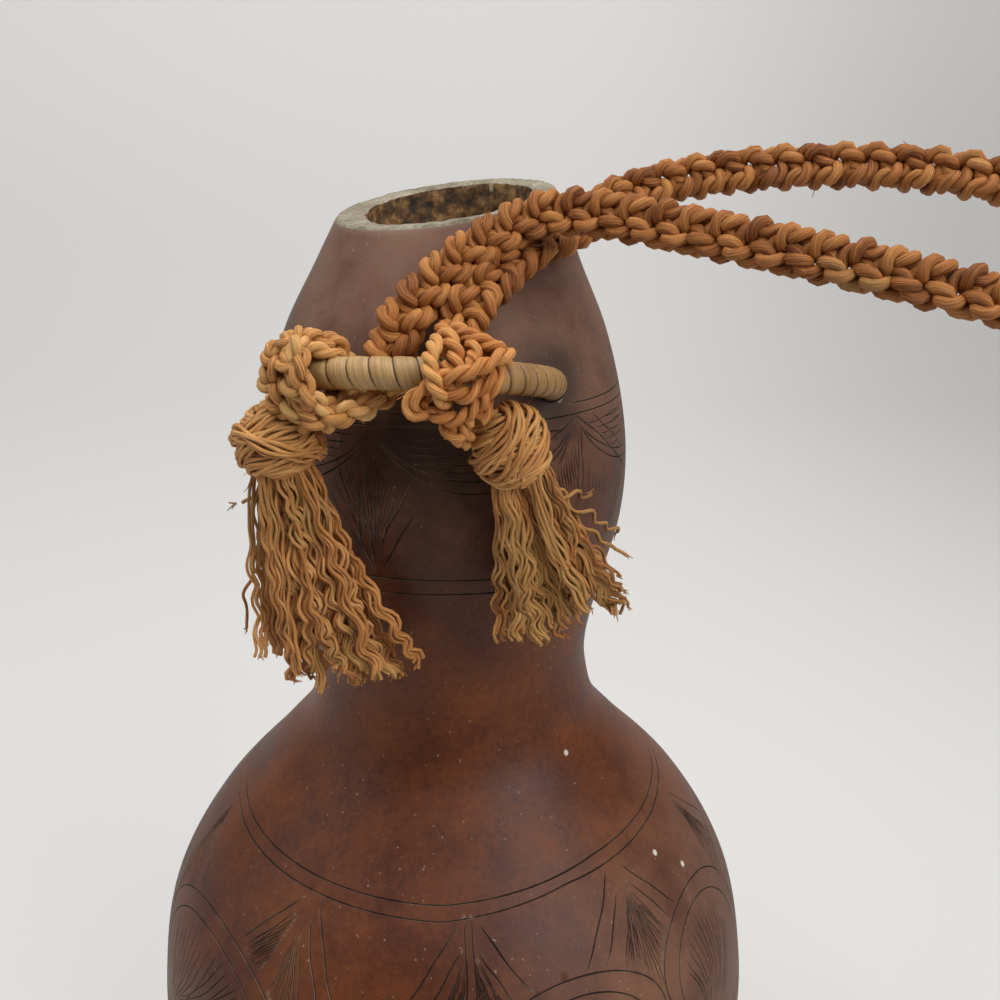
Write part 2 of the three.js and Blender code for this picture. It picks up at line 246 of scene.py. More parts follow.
def maths(tree, operation, a, b=0.0, clamp=False):
    node = add_node(tree, "ShaderNodeMath", {0: a, 1: b}, operation=operation, use_clamp=clamp)
    return node.outputs[0]


def times(tree, a, b):
    return maths(tree, "MULTIPLY", a, b)


def weighed(tree, *parts):
    """The sum of parts that are each a value and its weight."""
    total = times(tree, *parts[0])
    for value, weight in parts[1:]:
        total = maths(tree, "ADD", total, times(tree, value, weight))
    return total


def texture(tree, place, scale, detail, roughness=0.5):
    inputs = {"Vector": place, "Scale": scale, "Detail": detail, "Roughness": roughness}
    return add_node(tree, "ShaderNodeTexNoise", inputs).outputs[0]


def ramp(tree, factor, stops):
    node = add_node(tree, "ShaderNodeValToRGB", {0: factor})
    elements = node.color_ramp.elements
    while len(elements) < len(stops):
        elements.new(0.5)
    for element, (position, colour) in zip(elements, stops):
        element.position = position
        element.color = (*colour, 1) if len(colour) == 3 else colour
    return node.outputs[0]


def grey(level):
    return (level, level, level)


def mixed(tree, factor, a, b, mode="MIX"):
    node = tree.nodes.new("ShaderNodeMix")
    node.data_type = "RGBA"
    node.blend_type = mode
    for index, value in ((0, factor), (6, a), (7, b)):
        feed(tree, node.inputs[index], (*value, 1) if isinstance(value, tuple) else value)
    return node.outputs[2]


def coat(tree, shader, colour, roughness, relief, strength, depth, specular=0.5):
    """Gives the shader its colour, its gloss and a fine relief."""
    feed(tree, shader.inputs["Base Color"], colour)
    feed(tree, shader.inputs["Roughness"], roughness)
    shader.inputs["Specular IOR Level"].default_value = specular
    bump = add_node(tree, "ShaderNodeBump", {"Height": relief, "Strength": strength, "Distance": depth})
    tree.links.new(bump.outputs[0], shader.inputs["Normal"])


def loose_fibres(cords, count, reach, draw):
    """Single fibres that stand off the cords they come from."""
    hairs = []
    long_enough = [cord for cord in cords if len(cord[0]) > 9]
    for _ in range(count):
        points, radii, tone = draw.choice(long_enough)
        place = draw.randrange(3, len(points) - 4)
        heading = unit((points[place + 1] - points[place])[None])[0]
        aside = unit(np.array([[draw.gauss(0, 1) for _ in range(3)]]))[0]
        aside = unit((aside - heading * (aside @ heading))[None])[0]
        start = points[place] + aside * float(np.broadcast_to(radii, (len(points),))[place]) * 0.9
        length = draw.uniform(0.4, 1.0) * reach
        lift = draw.uniform(0.15, 0.6)
        curl = np.array([draw.gauss(0, 0.25) for _ in range(3)]) * length
        hair = []
        for s in np.linspace(0, 1, 5):
            hair.append(start + length * s * (heading + aside * lift * s) + curl * s * s)
        hairs.append((np.array(hair), np.linspace(0.00016, 0.00009, 5), tone))
    return hairs


def fibre_finish(name, dark, middle, light, odd, odd_share=0.42, streaks=2.6):
    """Twisted plant fibre: streaks along each ply, a tone for each ply and patches of another colour."""
    material, tree, shader = new_material(name)
    uv = add_node(tree, "ShaderNodeUVMap", uv_map="UVMap").outputs[0]
    along, round_it, _ = add_node(tree, "ShaderNodeSeparateXYZ", {0: uv}).outputs
    angle = times(tree, maths(tree, "ADD", round_it, times(tree, along, 0.3)), 2 * math.pi)
    spun = add_node(tree, "ShaderNodeCombineXYZ", {
        0: times(tree, along, 0.8),
        1: times(tree, maths(tree, "COSINE", angle), streaks),
        2: times(tree, maths(tree, "SINE", angle), streaks),
    }).outputs[0]
    strands = texture(tree, spun, 1.0, 1.0)
    threads = texture(tree, spun, 3.6, 3.0)
    relief = weighed(tree, (strands, 0.62), (threads, 0.38))
    tone = add_node(tree, "ShaderNodeAttribute", attribute_name="tone").outputs["Fac"]
    place = add_node(tree, "ShaderNodeTexCoord").outputs["Object"]
    patch = texture(tree, place, 75.0, 2.0)
    grade = weighed(tree, (maths(tree, "SUBTRACT", relief, 0.5), 1.45), (tone, 0.42), (patch, 0.40))
    grade = maths(tree, "ADD", grade, 0.10, clamp=True)
    colour = ramp(tree, grade, [(0.08, dark), (0.44, middle), (0.88, light)])
    odd_grade = weighed(tree, (texture(tree, place, 23.0, 1.0), 1.0), (tone, 0.25))
    odd_mask = ramp(tree, odd_grade, [(1 - odd_share + 0.02, grey(0)), (1 - odd_share + 0.14, grey(0.75))])
    odd_shade = mixed(tree, 0.5, odd, mixed(tree, 1.0, colour, odd, "MULTIPLY"))
    colour = mixed(tree, odd_mask, colour, odd_shade)
    coat(tree, shader, colour, 0.6, relief, 1.0, 0.0007, specular=0.3)
    return material


braid_finish = fibre_finish(
    "braid_fibre",
    dark=(0.11, 0.027, 0.006),
    middle=(0.44, 0.158, 0.036),
    light=(0.72, 0.36, 0.11),
    odd=(0.48, 0.33, 0.13),
    odd_share=0.32,
    streaks=5.2,
)

strap_line = smooth_line(STRAP_ROUTE, CORD_STEP)
strap_reach = length_along(strap_line)
from_end = strap_reach - strap_reach[-1]
# the plait is broad where it enters each hitch, and drawn a little tighter just before it
strap_size = np.interp(strap_reach, [0, 0.02, 0.045, 0.07], [1.12, 1.10, 0.97, 1.0])
strap_size *= np.interp(from_end, [-0.09, -0.055, -0.03, 0], [1.0, 0.95, 1.08, 1.12])
strap_plies = plait(
    strap_line, STRAP_FACE, PLAIT_WIDTH, PLAIT_THICKNESS, PLAIT_PITCH, PLY_RADIUS, strap_size
)
strap = cord_mesh("strap", strap_plies + loose_fibres(strap_plies, 240, 0.0034, numbers))
strap.data.materials.append(braid_finish)
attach(strap, "root")
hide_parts("strap_cord")


# Bail
# A cane bent to a hoop, its ends let into two holes in the upper bulb. A flat strip of split cane
# is wound round it in close turns, which are broad in the middle and narrow towards the ends.

BAIL_POINTS = [
    (-0.039, -0.018), (-0.044, -0.025), (-0.0475, -0.033), (-0.048, -0.043), (-0.0435, -0.056),
    (-0.031, -0.069), (-0.012, -0.0775), (0.008, -0.077), (0.023, -0.0695), (0.031, -0.059),
    (0.033, -0.0475), (0.031, -0.039), (0.0275, -0.032),
]
BAIL_LEVEL = 0.3336
BAIL_FALL_X = -0.026
BAIL_FALL_Y = -0.277
BAIL_RADIUS = 0.0045
CANE_RADIUS = 0.0032
WRAP_FROM = 0.012
WRAP_TO = 0.151
BROAD_TURN = 0.0061
NARROW_TURN = 0.0038
SEAM_DEPTH = 0.0005
WRAP_STEP = 0.0002  # fine enough for a seam to run cleanly across it
CANE_ENDS = 0.0024  # the cane stops this far short of each end of the bail's line

bail_line = smooth_line(
    [(x, y, BAIL_LEVEL + BAIL_FALL_X * x + BAIL_FALL_Y * y) for x, y in BAIL_POINTS], 0.0005
)
bail_reach = length_along(bail_line)


def on_bail(distance):
    return np.array([np.interp(distance, bail_reach, bail_line[:, k]) for k in range(3)])


def bail_frame(distance):
    """Outward and upward directions square to the bail at a distance along it."""
    tangent = on_bail(distance + 0.0005) - on_bail(distance - 0.0005)
    tangent /= np.linalg.norm(tangent)
    outward = np.cross(tangent, (0, 0, 1))
    outward /= np.linalg.norm(outward)
    return outward, np.cross(outward, tangent)


def turn_count(distance):
    """How many turns of the strip lie before a distance along the bail."""
    steps = np.linspace(0, distance, 200)
    middle = np.exp(-(((steps - 0.084) / 0.030) ** 4))
    pitch = NARROW_TURN + (BROAD_TURN - NARROW_TURN) * middle
    return float(np.sum(np.diff(steps) / pitch[1:]))


def along_bail(start, end, samples, step):
    return equal_steps(np.array([on_bail(d) for d in np.linspace(start, end, samples)]), step)


wrap_line = along_bail(WRAP_FROM, WRAP_TO, 300, WRAP_STEP)
wrap_cord = (wrap_line, np.full(len(wrap_line), BAIL_RADIUS), 0.5)
wrapping = cord_mesh("bail_wrapping", [wrap_cord], roundness=6)


def wind_strip(piece, line, start):
    """Sets the UV map to turns along and one round, and crowns each turn of the strip."""
    mesh = piece.data
    whole = length_along(line)[-1]
    share = length_along(line) / whole
    table = np.array([turn_count(start + s * whole) for s in np.linspace(0, 1, 80)])
    layer = mesh.uv_layers[0].data
    uv = np.empty(len(mesh.loops) * 2)
    layer.foreach_get("uv", uv)
    uv = uv.reshape(-1, 2)
    places = np.empty(len(mesh.vertices) * 3)
    mesh.vertices.foreach_get("co", places)
    places = places.reshape(-1, 3)
    corner = np.empty(len(mesh.loops), int)
    mesh.loops.foreach_get("vertex_index", corner)
    low = uv[:, 0].min()
    uv[:, 0] = np.interp((uv[:, 0] - low) / (uv[:, 0].max() - low), np.linspace(0, 1, 80), table)
    layer.foreach_set("uv", uv.ravel())
    phase = np.zeros(len(places))
    station = np.zeros(len(places))
    phase[corner] = (uv[:, 0] - uv[:, 1]) % 1.0
    station[corner] = np.interp(uv[:, 0], table, np.linspace(0, 1, 80))
    centre = np.stack([np.interp(station, share, line[:, k]) for k in range(3)], axis=1)
    edge = np.minimum(phase, 1 - phase)
    press = SEAM_DEPTH * np.exp(-((edge / 0.055) ** 2)) + 0.00016 * (phase - 0.5)
    press += 0.00012 * (1 - np.sin(math.pi * phase))
    outward = unit(places - centre)
    reach = np.linalg.norm(places - centre, axis=1)
    on_skin = reach > BAIL_RADIUS * 0.6
    places[on_skin] -= outward[on_skin] * press[on_skin, None]
    mesh.vertices.foreach_set("co", places.ravel())
    mesh.update()


wind_strip(wrapping, wrap_line, WRAP_FROM)


def cane_strip_finish():
    """Split cane: pale tan with fine fibre lines along the strip, dark seams at its edges and stains."""
    material, tree, shader = new_material("split_cane")
    uv = add_node(tree, "ShaderNodeUVMap", uv_map="UVMap").outputs[0]
    along, round_it, _ = add_node(tree, "ShaderNodeSeparateXYZ", {0: uv}).outputs
    turn = maths(tree, "SUBTRACT", along, round_it)
    phase = maths(tree, "FRACT", turn)
    edge = maths(tree, "MINIMUM", phase, maths(tree, "SUBTRACT", 1.0, phase))
    place = add_node(tree, "ShaderNodeTexCoord").outputs["Object"]
    wander = maths(tree, "SUBTRACT", texture(tree, place, 420.0, 1.0), 0.5)
    seam = weighed(tree, (edge, 1.0), (wander, 0.02))
    seam_mask = ramp(tree, seam, [(0.020, grey(1)), (0.050, grey(0))])
    lines = add_node(tree, "ShaderNodeCombineXYZ", {0: times(tree, turn, 26.0), 1: round_it}).outputs[0]
    grain = texture(tree, lines, 1.0, 3.0, 0.6)
    base = ramp(tree, grain, [
        (0.25, (0.27, 0.150, 0.055)), (0.5, (0.43, 0.270, 0.110)), (0.75, (0.58, 0.40, 0.185)),
    ])
    stain_mask = ramp(tree, texture(tree, place, 130.0, 3.0), [(0.5, grey(0)), (0.78, grey(0.65))])
    base = mixed(tree, stain_mask, base, (0.21, 0.105, 0.036))
    across = add_node(tree, "ShaderNodeSeparateXYZ", {0: place}).outputs[0]
    right_side = maths(tree, "MULTIPLY", maths(tree, "SUBTRACT", across, 0.014), 90.0, clamp=True)
    handled = mixed(tree, 1.0, base, (0.56, 0.46, 0.31), "MULTIPLY")
    base = mixed(tree, times(tree, right_side, 0.75), base, handled)
    base = mixed(tree, seam_mask, base, (0.085, 0.038, 0.014))
    coat(tree, shader, base, 0.5, grain, 0.4, 0.0002, specular=0.35)
    return material


wrapping.data.materials.append(cane_strip_finish())
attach(wrapping, "root")
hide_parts("bail_wrap")

cane_line = along_bail(CANE_ENDS, bail_reach[-1] - CANE_ENDS, 200, 0.002)
cane = cord_mesh("bail_cane", [(cane_line, np.full(len(cane_line), CANE_RADIUS), 0.4)], roundness=4)
cane_finish = fibre_finish(
    "bare_cane",
    dark=(0.12, 0.06, 0.025),
    middle=(0.33, 0.2, 0.09),
    light=(0.5, 0.34, 0.17),
    odd=(0.3, 0.2, 0.1),
    streaks=2.0,
)
cane.data.materials.append(cane_finish)
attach(cane, "root")
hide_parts("bail_core")


# Gourd shell
# One grown bottle gourd, emptied and cut open at the neck. Its polished skin is cut by hand with fans
# and arches on each bulb and drilled twice for the bail, and its wall is about 5 mm thick.

GOURD_OUTLINE = [
    (0.040, 0), (0.063, 0.009), (0.086, 0.028), (0.104, 0.056), (0.1124, 0.083), (0.1134, 0.101),
    (0.1128, 0.118), (0.1077, 0.146), (0.0923, 0.1725), (0.0681, 0.199), (0.054, 0.217),
    (0.0497, 0.233), (0.0492, 0.244), (0.0542, 0.270), (0.0598, 0.293), (0.0612, 0.315),
    (0.0586, 0.337), (0.0531, 0.357), (0.0436, 0.377), (0.0353, 0.3954), (0.0285, 0.4094),
]
GOURD_WALL = 0.0052
RIM_LEVEL = 0.3962  # the mouth is cut at a slant, higher to the right and at the back
RIM_RISE_X = 0.12
RIM_RISE_Y = 0.15
RIM_WORN = 0.0004  # the skin's edge is worn back this far
NECK_SHIFT = 0.0026  # the neck leans this far to the right at its rim,
NECK_SLIMMER = 0.0008  # and is this much slimmer there than the outline
MOUTH_CENTRE = (0.0020, -0.0031)
MOUTH_HALF = (0.0268, 0.0286)
BORE_DEPTH = 0.013
CAVITY_TOP = 0.362
HOLE_RADIUS = 0.0052
RIM_COLUMNS = 240
UNROLLED_RADIUS = 0.075  # the skin is laid out flat at this radius to cut the lines into it
SKIN_STEP = 0.003
INSIDE_STEP = 0.0055
CUT_STEP = 0.0024

outline = smooth_line([(r, 0, z) for r, z in GOURD_OUTLINE], 0.0005)
outline_reach = length_along(outline)
outline_slope = np.gradient(outline, axis=0)
outline_lean = np.arctan2(-outline_slope[:, 0], outline_slope[:, 2])
sheet_edge = math.pi * UNROLLED_RADIUS


def neck_share(level):
    """0 below the neck to 1 at its rim."""
    return np.clip((level - 0.35) / 0.045, 0, 1.3) ** 1.6


def skin(flat, depth=0.0):
    """Places on the gourd, sunk by a depth, for rows of turn at the unrolled radius and outline reach."""
    turn = flat[:, 0] / UNROLLED_RADIUS
    reach = flat[:, 1]
    sunk = depth + 0.0003 * np.sin(2 * turn + 1.3 + 55 * reach)
    sunk = sunk + 0.0002 * np.sin(3 * turn - 2.1 + 31 * reach)
    lean = np.interp(reach, outline_reach, outline_lean)
    radius = np.interp(reach, outline_reach, outline[:, 0]) - sunk * np.cos(lean)
    level = np.interp(reach, outline_reach, outline[:, 2]) - sunk * np.sin(lean)
    share = neck_share(level)
    radius = radius - NECK_SLIMMER * share
    x = radius * np.sin(turn) + NECK_SHIFT * share
    return np.stack([x, -radius * np.cos(turn), np.maximum(level, 0.0)], axis=1)


def on_sheet(degrees, height):
    return (math.radians(degrees) * UNROLLED_RADIUS, float(np.interp(height, outline[:, 2], outline_reach)))


def cut_level(x, y):
    return RIM_LEVEL + RIM_RISE_X * x + RIM_RISE_Y * y


def rim_reach(turn):
    """Reach up the outline where the slanting cut of the mouth meets the skin."""
    over = outline[:, 2] - cut_level(outline[:, 0] * math.sin(turn), -outline[:, 0] * math.cos(turn))
    return float(np.interp(0, over, outline_reach))


rim_turns = np.linspace(-math.pi, math.pi, RIM_COLUMNS + 1)
rim_reaches = np.array([rim_reach(turn) for turn in rim_turns])


# The lines are cut with a small graver: fans hang from a double ring above the widest part, arches
# stand between them, and the upper bulb has swags and fans between its own two pairs of rings.

LOWER_FANS = [-75, -29.5, 5.5, 43, 78, 114, 150, 186, 222, 255]
FAN_TOP = 0.186
ARCH_FOOT = 0.118
DOWN_FANS = [-19, 105, 225]
UP_FANS = [43, 165, 285]
WAIST_RING = 0.288
TOP_RING = 0.336
ARCH_SHOULDER = 0.017
ARCH_GAP = 0.0045  # between an arch's two lines

# the strokes of the graver, as width and depth
PLAIN_LINE = (0.00066, 0.00036)
ARCH_LINE = (0.00075, 0.00036)
LIGHT_RAY = (0.00048, 0.0003)
RAY = (0.00048, 0.00034)
DEEP_RAY = (0.00048, 0.00036)
PLUME = (0.0005, 0.00034)
LADDER = (0.00055, 0.00034)
FAINT_RAY = (0.00055, 0.0002)
FILLING = (0.00055, 0.00036)

graver = random.Random(31)
cuts = []
arches = []
for fan, next_fan in zip(LOWER_FANS, LOWER_FANS[1:] + [LOWER_FANS[0] + 360]):
    arches.append(((fan + next_fan) / 2, (next_fan - fan) / 2 - 0.5, graver.uniform(0.1655, 0.169)))
arches[1] = (arches[1][0], arches[1][1], 0.158)  # the one in front is lower than the rest


def arch_width(height, half, top):
    """Half the width of an arch in degrees at a height: round at the top and nearly straight below."""
    shoulder = top - ARCH_SHOULDER
    if height >= shoulder:
        return half * math.sqrt(max(0.0, 1 - ((height - shoulder) / ARCH_SHOULDER) ** 2))
    return half * (1 - 0.12 * (shoulder - height) / (shoulder - ARCH_FOOT))


def in_arch(degrees, height):
    for centre, half, top in arches:
        aside = (degrees - centre + 180) % 360 - 180
        if height < top and abs(aside) < arch_width(height, half, top):
            return True
    return False


def cut(places, stroke=PLAIN_LINE, stops=None):
    """One hand-cut line through (degrees, height) places: it wanders a little and thins at its ends."""
    width, depth = stroke
    line = smooth_line([(*on_sheet(*place), 0) for place in places], 0.0004)
    share = np.linspace(0, 1, len(line))
    heading = unit(np.gradient(line, axis=0))
    beside = np.stack([-heading[:, 1], heading[:, 0], heading[:, 2]], axis=1)
    waver = np.sin(share * graver.uniform(9, 14) + graver.uniform(0, 6)) * np.sin(math.pi * share)
    line = line + beside * (waver * 0.00022)[:, None]
    if stops:
        degrees = np.degrees(line[:, 0] / UNROLLED_RADIUS)
        heights = np.interp(line[:, 1], outline_reach, outline[:, 2])
        blocked = [i for i, place in enumerate(zip(degrees, heights)) if stops(*place)]
        line = line[:blocked[0]] if blocked else line
    for sheet in (-1, 0, 1):
        shifted = line - np.array([2 * sheet * sheet_edge, 0, 0])
        run = shifted[np.abs(shifted[:, 0]) < sheet_edge - 0.0005]
        if len(run) < 6:
            continue
        run = equal_steps(run, CUT_STEP)[:, :2]
        share = np.linspace(0, 1, len(run))
        ends = np.minimum(1, np.minimum(share, 1 - share) * len(run) / 2.5)
        cuts.append((run, ends * width / 2, depth * ends))


def spread(count):
    """Shares from 0 to 1 for a row of strokes."""
    return [place / (count - 1) for place in range(count)]


def fan_line(fan, start, end, stroke=PLAIN_LINE):
    cut([(fan + start[0], start[1]), (fan + end[0], end[1])], stroke, stops=in_arch)


def broad_fan(fan):
    for start, end in (((-1, 0.187), (-19, 0.161)), ((-1, 0.182), (-14, 0.160)),
                       ((2, 0.187), (16, 0.160)), ((2, 0.182), (14, 0.154))):
        fan_line(fan, start, end)
    for share in spread(24):
        low = graver.uniform(0.150, 0.156)
        start = (share * 1.5, 0.181 - 0.004 * graver.random())
        fan_line(fan, start, (-11 + 22 * share, low), LIGHT_RAY)


def stem_fan(fan):
    for aside in (-0.6, 0.8):
        fan_line(fan, (aside, FAN_TOP), (aside * 1.5, 0.150))
    for side in (-1, 1):
        fan_line(fan, (1.4 * side, 0.185), (13 * side, 0.163))
        fan_line(fan, (1.0 * side, 0.179), (10 * side, 0.160))
        for share in spread(11):
            start = ((0.9 + 0.5 * share) * side, 0.177 - 0.006 * graver.random())
            fan_line(fan, start, ((2 + 7.4 * share) * side, 0.156), RAY)


def feather_fan(fan):
    for start, end in (((0.5, 0.185), (12, 0.157)), ((-0.5, 0.181), (9, 0.155)),
                       ((-3.0, 0.184), (-19, 0.159)), ((-3.5, 0.180), (-17, 0.158))):
        fan_line(fan, start, end)
    for share in spread(17):
        start = (-2.2 - 5.5 * share, 0.180 - 0.022 * share)
        fan_line(fan, start, (start[0] - 11, start[1] - 0.0165), PLUME)
    for share in spread(12):
        start = (-1.6 + 0.8 * share, 0.177 - 0.007 * graver.random())
        fan_line(fan, start, (-5 + 10 * share, 0.152), RAY)


def band_fan(fan):
    fan_line(fan, (0, FAN_TOP), (-3, 0.150))
    fan_line(fan, (0.6, FAN_TOP), (14, 0.160))
    for share in spread(15):
        fan_line(fan, (0.3, 0.183 - 0.004 * graver.random()), (-2.5 + 14 * share, 0.152), DEEP_RAY)


def arch_line(centre, half, top, levels):
    """Places up the left side of an arch and down its right side."""
    left = [(centre - arch_width(level, half, top), level) for level in levels]
    return left + [(centre + arch_width(level, half, top), level) for level in levels[-2::-1]]


def arch(centre, half, top):
    """An arch of two lines, filled with slanting strokes that spring from its foot."""
    straight = np.linspace(ARCH_FOOT, top - ARCH_SHOULDER, 8)
    rounded = top - ARCH_SHOULDER * (1 - np.sin(np.linspace(0.2, 1.57, 8)))
    levels = np.concatenate([straight, rounded])
    cut(arch_line(centre, half, top, levels), ARCH_LINE)
    inner_half, inner_top = half - 3.6, top - ARCH_GAP
    levels = levels - ARCH_GAP
    cut(arch_line(centre, inner_half, inner_top, levels[levels > ARCH_FOOT + 0.003]))
    for share in spread(16):
        foot = (centre - inner_half * 0.55 + 4.0 * share, ARCH_FOOT + 0.004 + 0.008 * graver.random())
        lean = -inner_half * 0.9 + inner_half * 1.9 * share
        rise = inner_top - ARCH_FOOT - 0.024
        tip_level = ARCH_FOOT + 0.022 + rise * math.sin(0.5 + 2.1 * share) ** 0.6
        reach = max(0.0, arch_width(tip_level, inner_half, inner_top) - 0.8)
        tip = (centre + max(-reach, min(reach, lean)), tip_level)
        middle = ((foot[0] + tip[0]) / 2 + 1.6, (foot[1] + tip[1]) / 2)
        cut([foot, middle, tip], LIGHT_RAY)


def opening_fan(fan):
    """A fan of the upper bulb that opens upwards from the waist ring."""
    for start, end in (((-4, 0.333), (-4, 0.296)), ((-2.2, 0.333), (0, 0.289)),
                       ((-12, 0.328), (-0.6, 0.290)), ((16, 0.317), (1, 0.290)),
                       ((13, 0.322), (0.6, 0.297))):
        cut([(fan + start[0], start[1]), (fan + end[0], end[1])])
    for share in spread(20):
        tip = (fan - 15 + 26 * share, 0.317 + 0.010 * math.sin(math.pi * share))
        foot = (fan - 1.5 + 3 * share, 0.293 + 0.011 * graver.random())
        cut([tip, foot], DEEP_RAY)


def hanging_fan(fan):
    """A fan of the upper bulb that hangs from its top ring, with ladders of short strokes beside it."""
    for start, end in (((-1, 0.337), (31, 0.312)), ((7, 0.336), (29, 0.319)), ((0, 0.335), (-13, 0.3285)),
                       ((-2, 0.331), (-9, 0.320)), ((2, 0.334), (1.6, 0.310)), ((0.6, 0.330), (-0.6, 0.308)),
                       ((26, 0.314), (13, 0.290)), ((28, 0.313), (15.5, 0.290))):
        cut([(fan + start[0], start[1]), (fan + end[0], end[1])])
    for share in spread(9):
        start = (fan - 1.5 - 7.5 * share, 0.3285 - 0.008 * share)
        cut([start, (start[0] + 1.8, start[1] - 0.015 + 0.004 * share)], PLUME)
    for rung in range(6):
        level = 0.3325 - 0.0026 * rung
        end = (fan + 33 + graver.uniform(-3, 3), level + 0.0006)
        cut([(fan + 11 + 3.6 * rung, level), end], LADDER)
    for share in spread(7):
        start = (fan + 5 + 12 * share, 0.322 - 0.009 * share)
        cut([start, (fan + 4 + 9 * share, 0.309 - 0.006 * share)], FAINT_RAY)


def swag(start, end):
    """A double arc that hangs between two fans, with the space above it filled by level strokes."""
    for drop in (0.0185, 0.0150):
        places = []
        for share in np.linspace(0.02, 0.98, 11):
            sag = 1 - (2 * share - 1) ** 2
            places.append((start + (end - start) * share, TOP_RING - 0.001 - drop * sag ** 0.8))
        cut(places)
    for rung in range(6):
        level = 0.3325 - 0.0023 * rung
        inset = (0.13 + 0.085 * rung) * (end - start) / 2
        gap = graver.uniform(-4, 4)
        middle = (start + end) / 2 + gap
        cut([(start + inset, level), (middle - 1.5, level - 0.0004)], FILLING)
        cut([(middle + 1.5, level - 0.0003), (end - inset, level)], FILLING)


def near_hole(degrees, height):
    place = skin(np.array([on_sheet(degrees, height)]))[0]
    return min(np.linalg.norm(bail_line - place, axis=1)) < HOLE_RADIUS + 0.002


def ring(heights):
    """A line round the gourd through (degrees, height) places; it is left out close to the bail's holes."""
    degrees = np.linspace(-180, 180, 145)
    levels = np.interp(degrees, [d for d, _ in heights], [h for _, h in heights])
    levels = levels + 0.0003 * np.sin(np.radians(degrees) * 3 + graver.uniform(0, 6))
    run = []
    runs = [run]
    for place in zip(degrees, levels):
        if near_hole(*place):
            run = []
            runs.append(run)
        else:
            run.append(place)
    for run in runs:
        if len(run) > 2:
            cut(run)


ring([(-180, 0.190), (-60, 0.1885), (0, 0.1875), (40, 0.1905), (100, 0.1905), (180, 0.190)])
ring([(-180, 0.187), (-63, 0.186), (-30, 0.185), (0, 0.184), (30, 0.1875), (100, 0.188), (180, 0.187)])
for level in (ARCH_FOOT - 0.0005, ARCH_FOOT - 0.004, WAIST_RING, WAIST_RING - 0.005,
              TOP_RING, TOP_RING + 0.0035):
    ring([(-180, level), (180, level)])
for number, fan in enumerate(LOWER_FANS):
    (band_fan, feather_fan, stem_fan, broad_fan)[number % 4](fan)
for form in arches:
    arch(*form)
for down, up, next_down in zip(DOWN_FANS, UP_FANS, DOWN_FANS[1:] + [DOWN_FANS[0] + 360]):
    opening_fan(down)
    hanging_fan(up)
    swag(down, up)
    swag(up, next_down)


def chain(points, edges, line, closed=False):
    """Adds a line to the sheet as points joined by edges."""
    first = len(points)
    points.extend(tuple(point) for point in line)
    last = len(points) - 1
    edges.extend((i, i + 1) for i in range(first, last))
    if closed:
        edges.append((last, first))


def inside_loop(flat, loop):
    """Which flat places lie inside a closed loop."""
    x, y = flat[:, 0], flat[:, 1]
    inside = np.zeros(len(flat), bool)
    for (ax, ay), (bx, by) in zip(loop, np.roll(loop, -1, axis=0)):
        crosses = (ay > y) != (by > y)
        inside ^= crosses & (x < (bx - ax) * (y - ay) / (by - ay + 1e-15) + ax)
    return inside


def hole_loop(ends, depth):
    """Where the drilled hole round an end of the bail meets the skin, or the inner wall at a depth."""
    loop = []
    distances = np.linspace(*ends, 160)
    for angle in np.linspace(0, 2 * math.pi, 24, endpoint=False):
        over = []
        for distance in distances:
            outward, upward = bail_frame(distance)
            place = on_bail(distance) + HOLE_RADIUS * (math.cos(angle) * outward + math.sin(angle) * upward)
            reach = float(np.interp(place[2], outline[:, 2], outline_reach))
            lean = float(np.interp(reach, outline_reach, outline_lean))
            wall = float(np.interp(place[2] + depth * math.sin(lean), outline[:, 2], outline[:, 0]))
            over.append((math.hypot(place[0], place[1]) - wall + depth * math.cos(lean), *place))
        over = np.array(over)
        order = np.argsort(over[:, 0])
        x, y, z = (np.interp(0, over[order, 0], over[order, k]) for k in (1, 2, 3))
        level = z + depth * math.sin(float(np.interp(z, outline[:, 2], outline_lean)))
        loop.append(on_sheet(math.degrees(math.atan2(x, -y)), level))
    return np.array(loop)


def search_tree(places):
    tree = KDTree(len(places))
    for index, place in enumerate(places):
        tree.insert(place, index)
    tree.balance()
    return tree


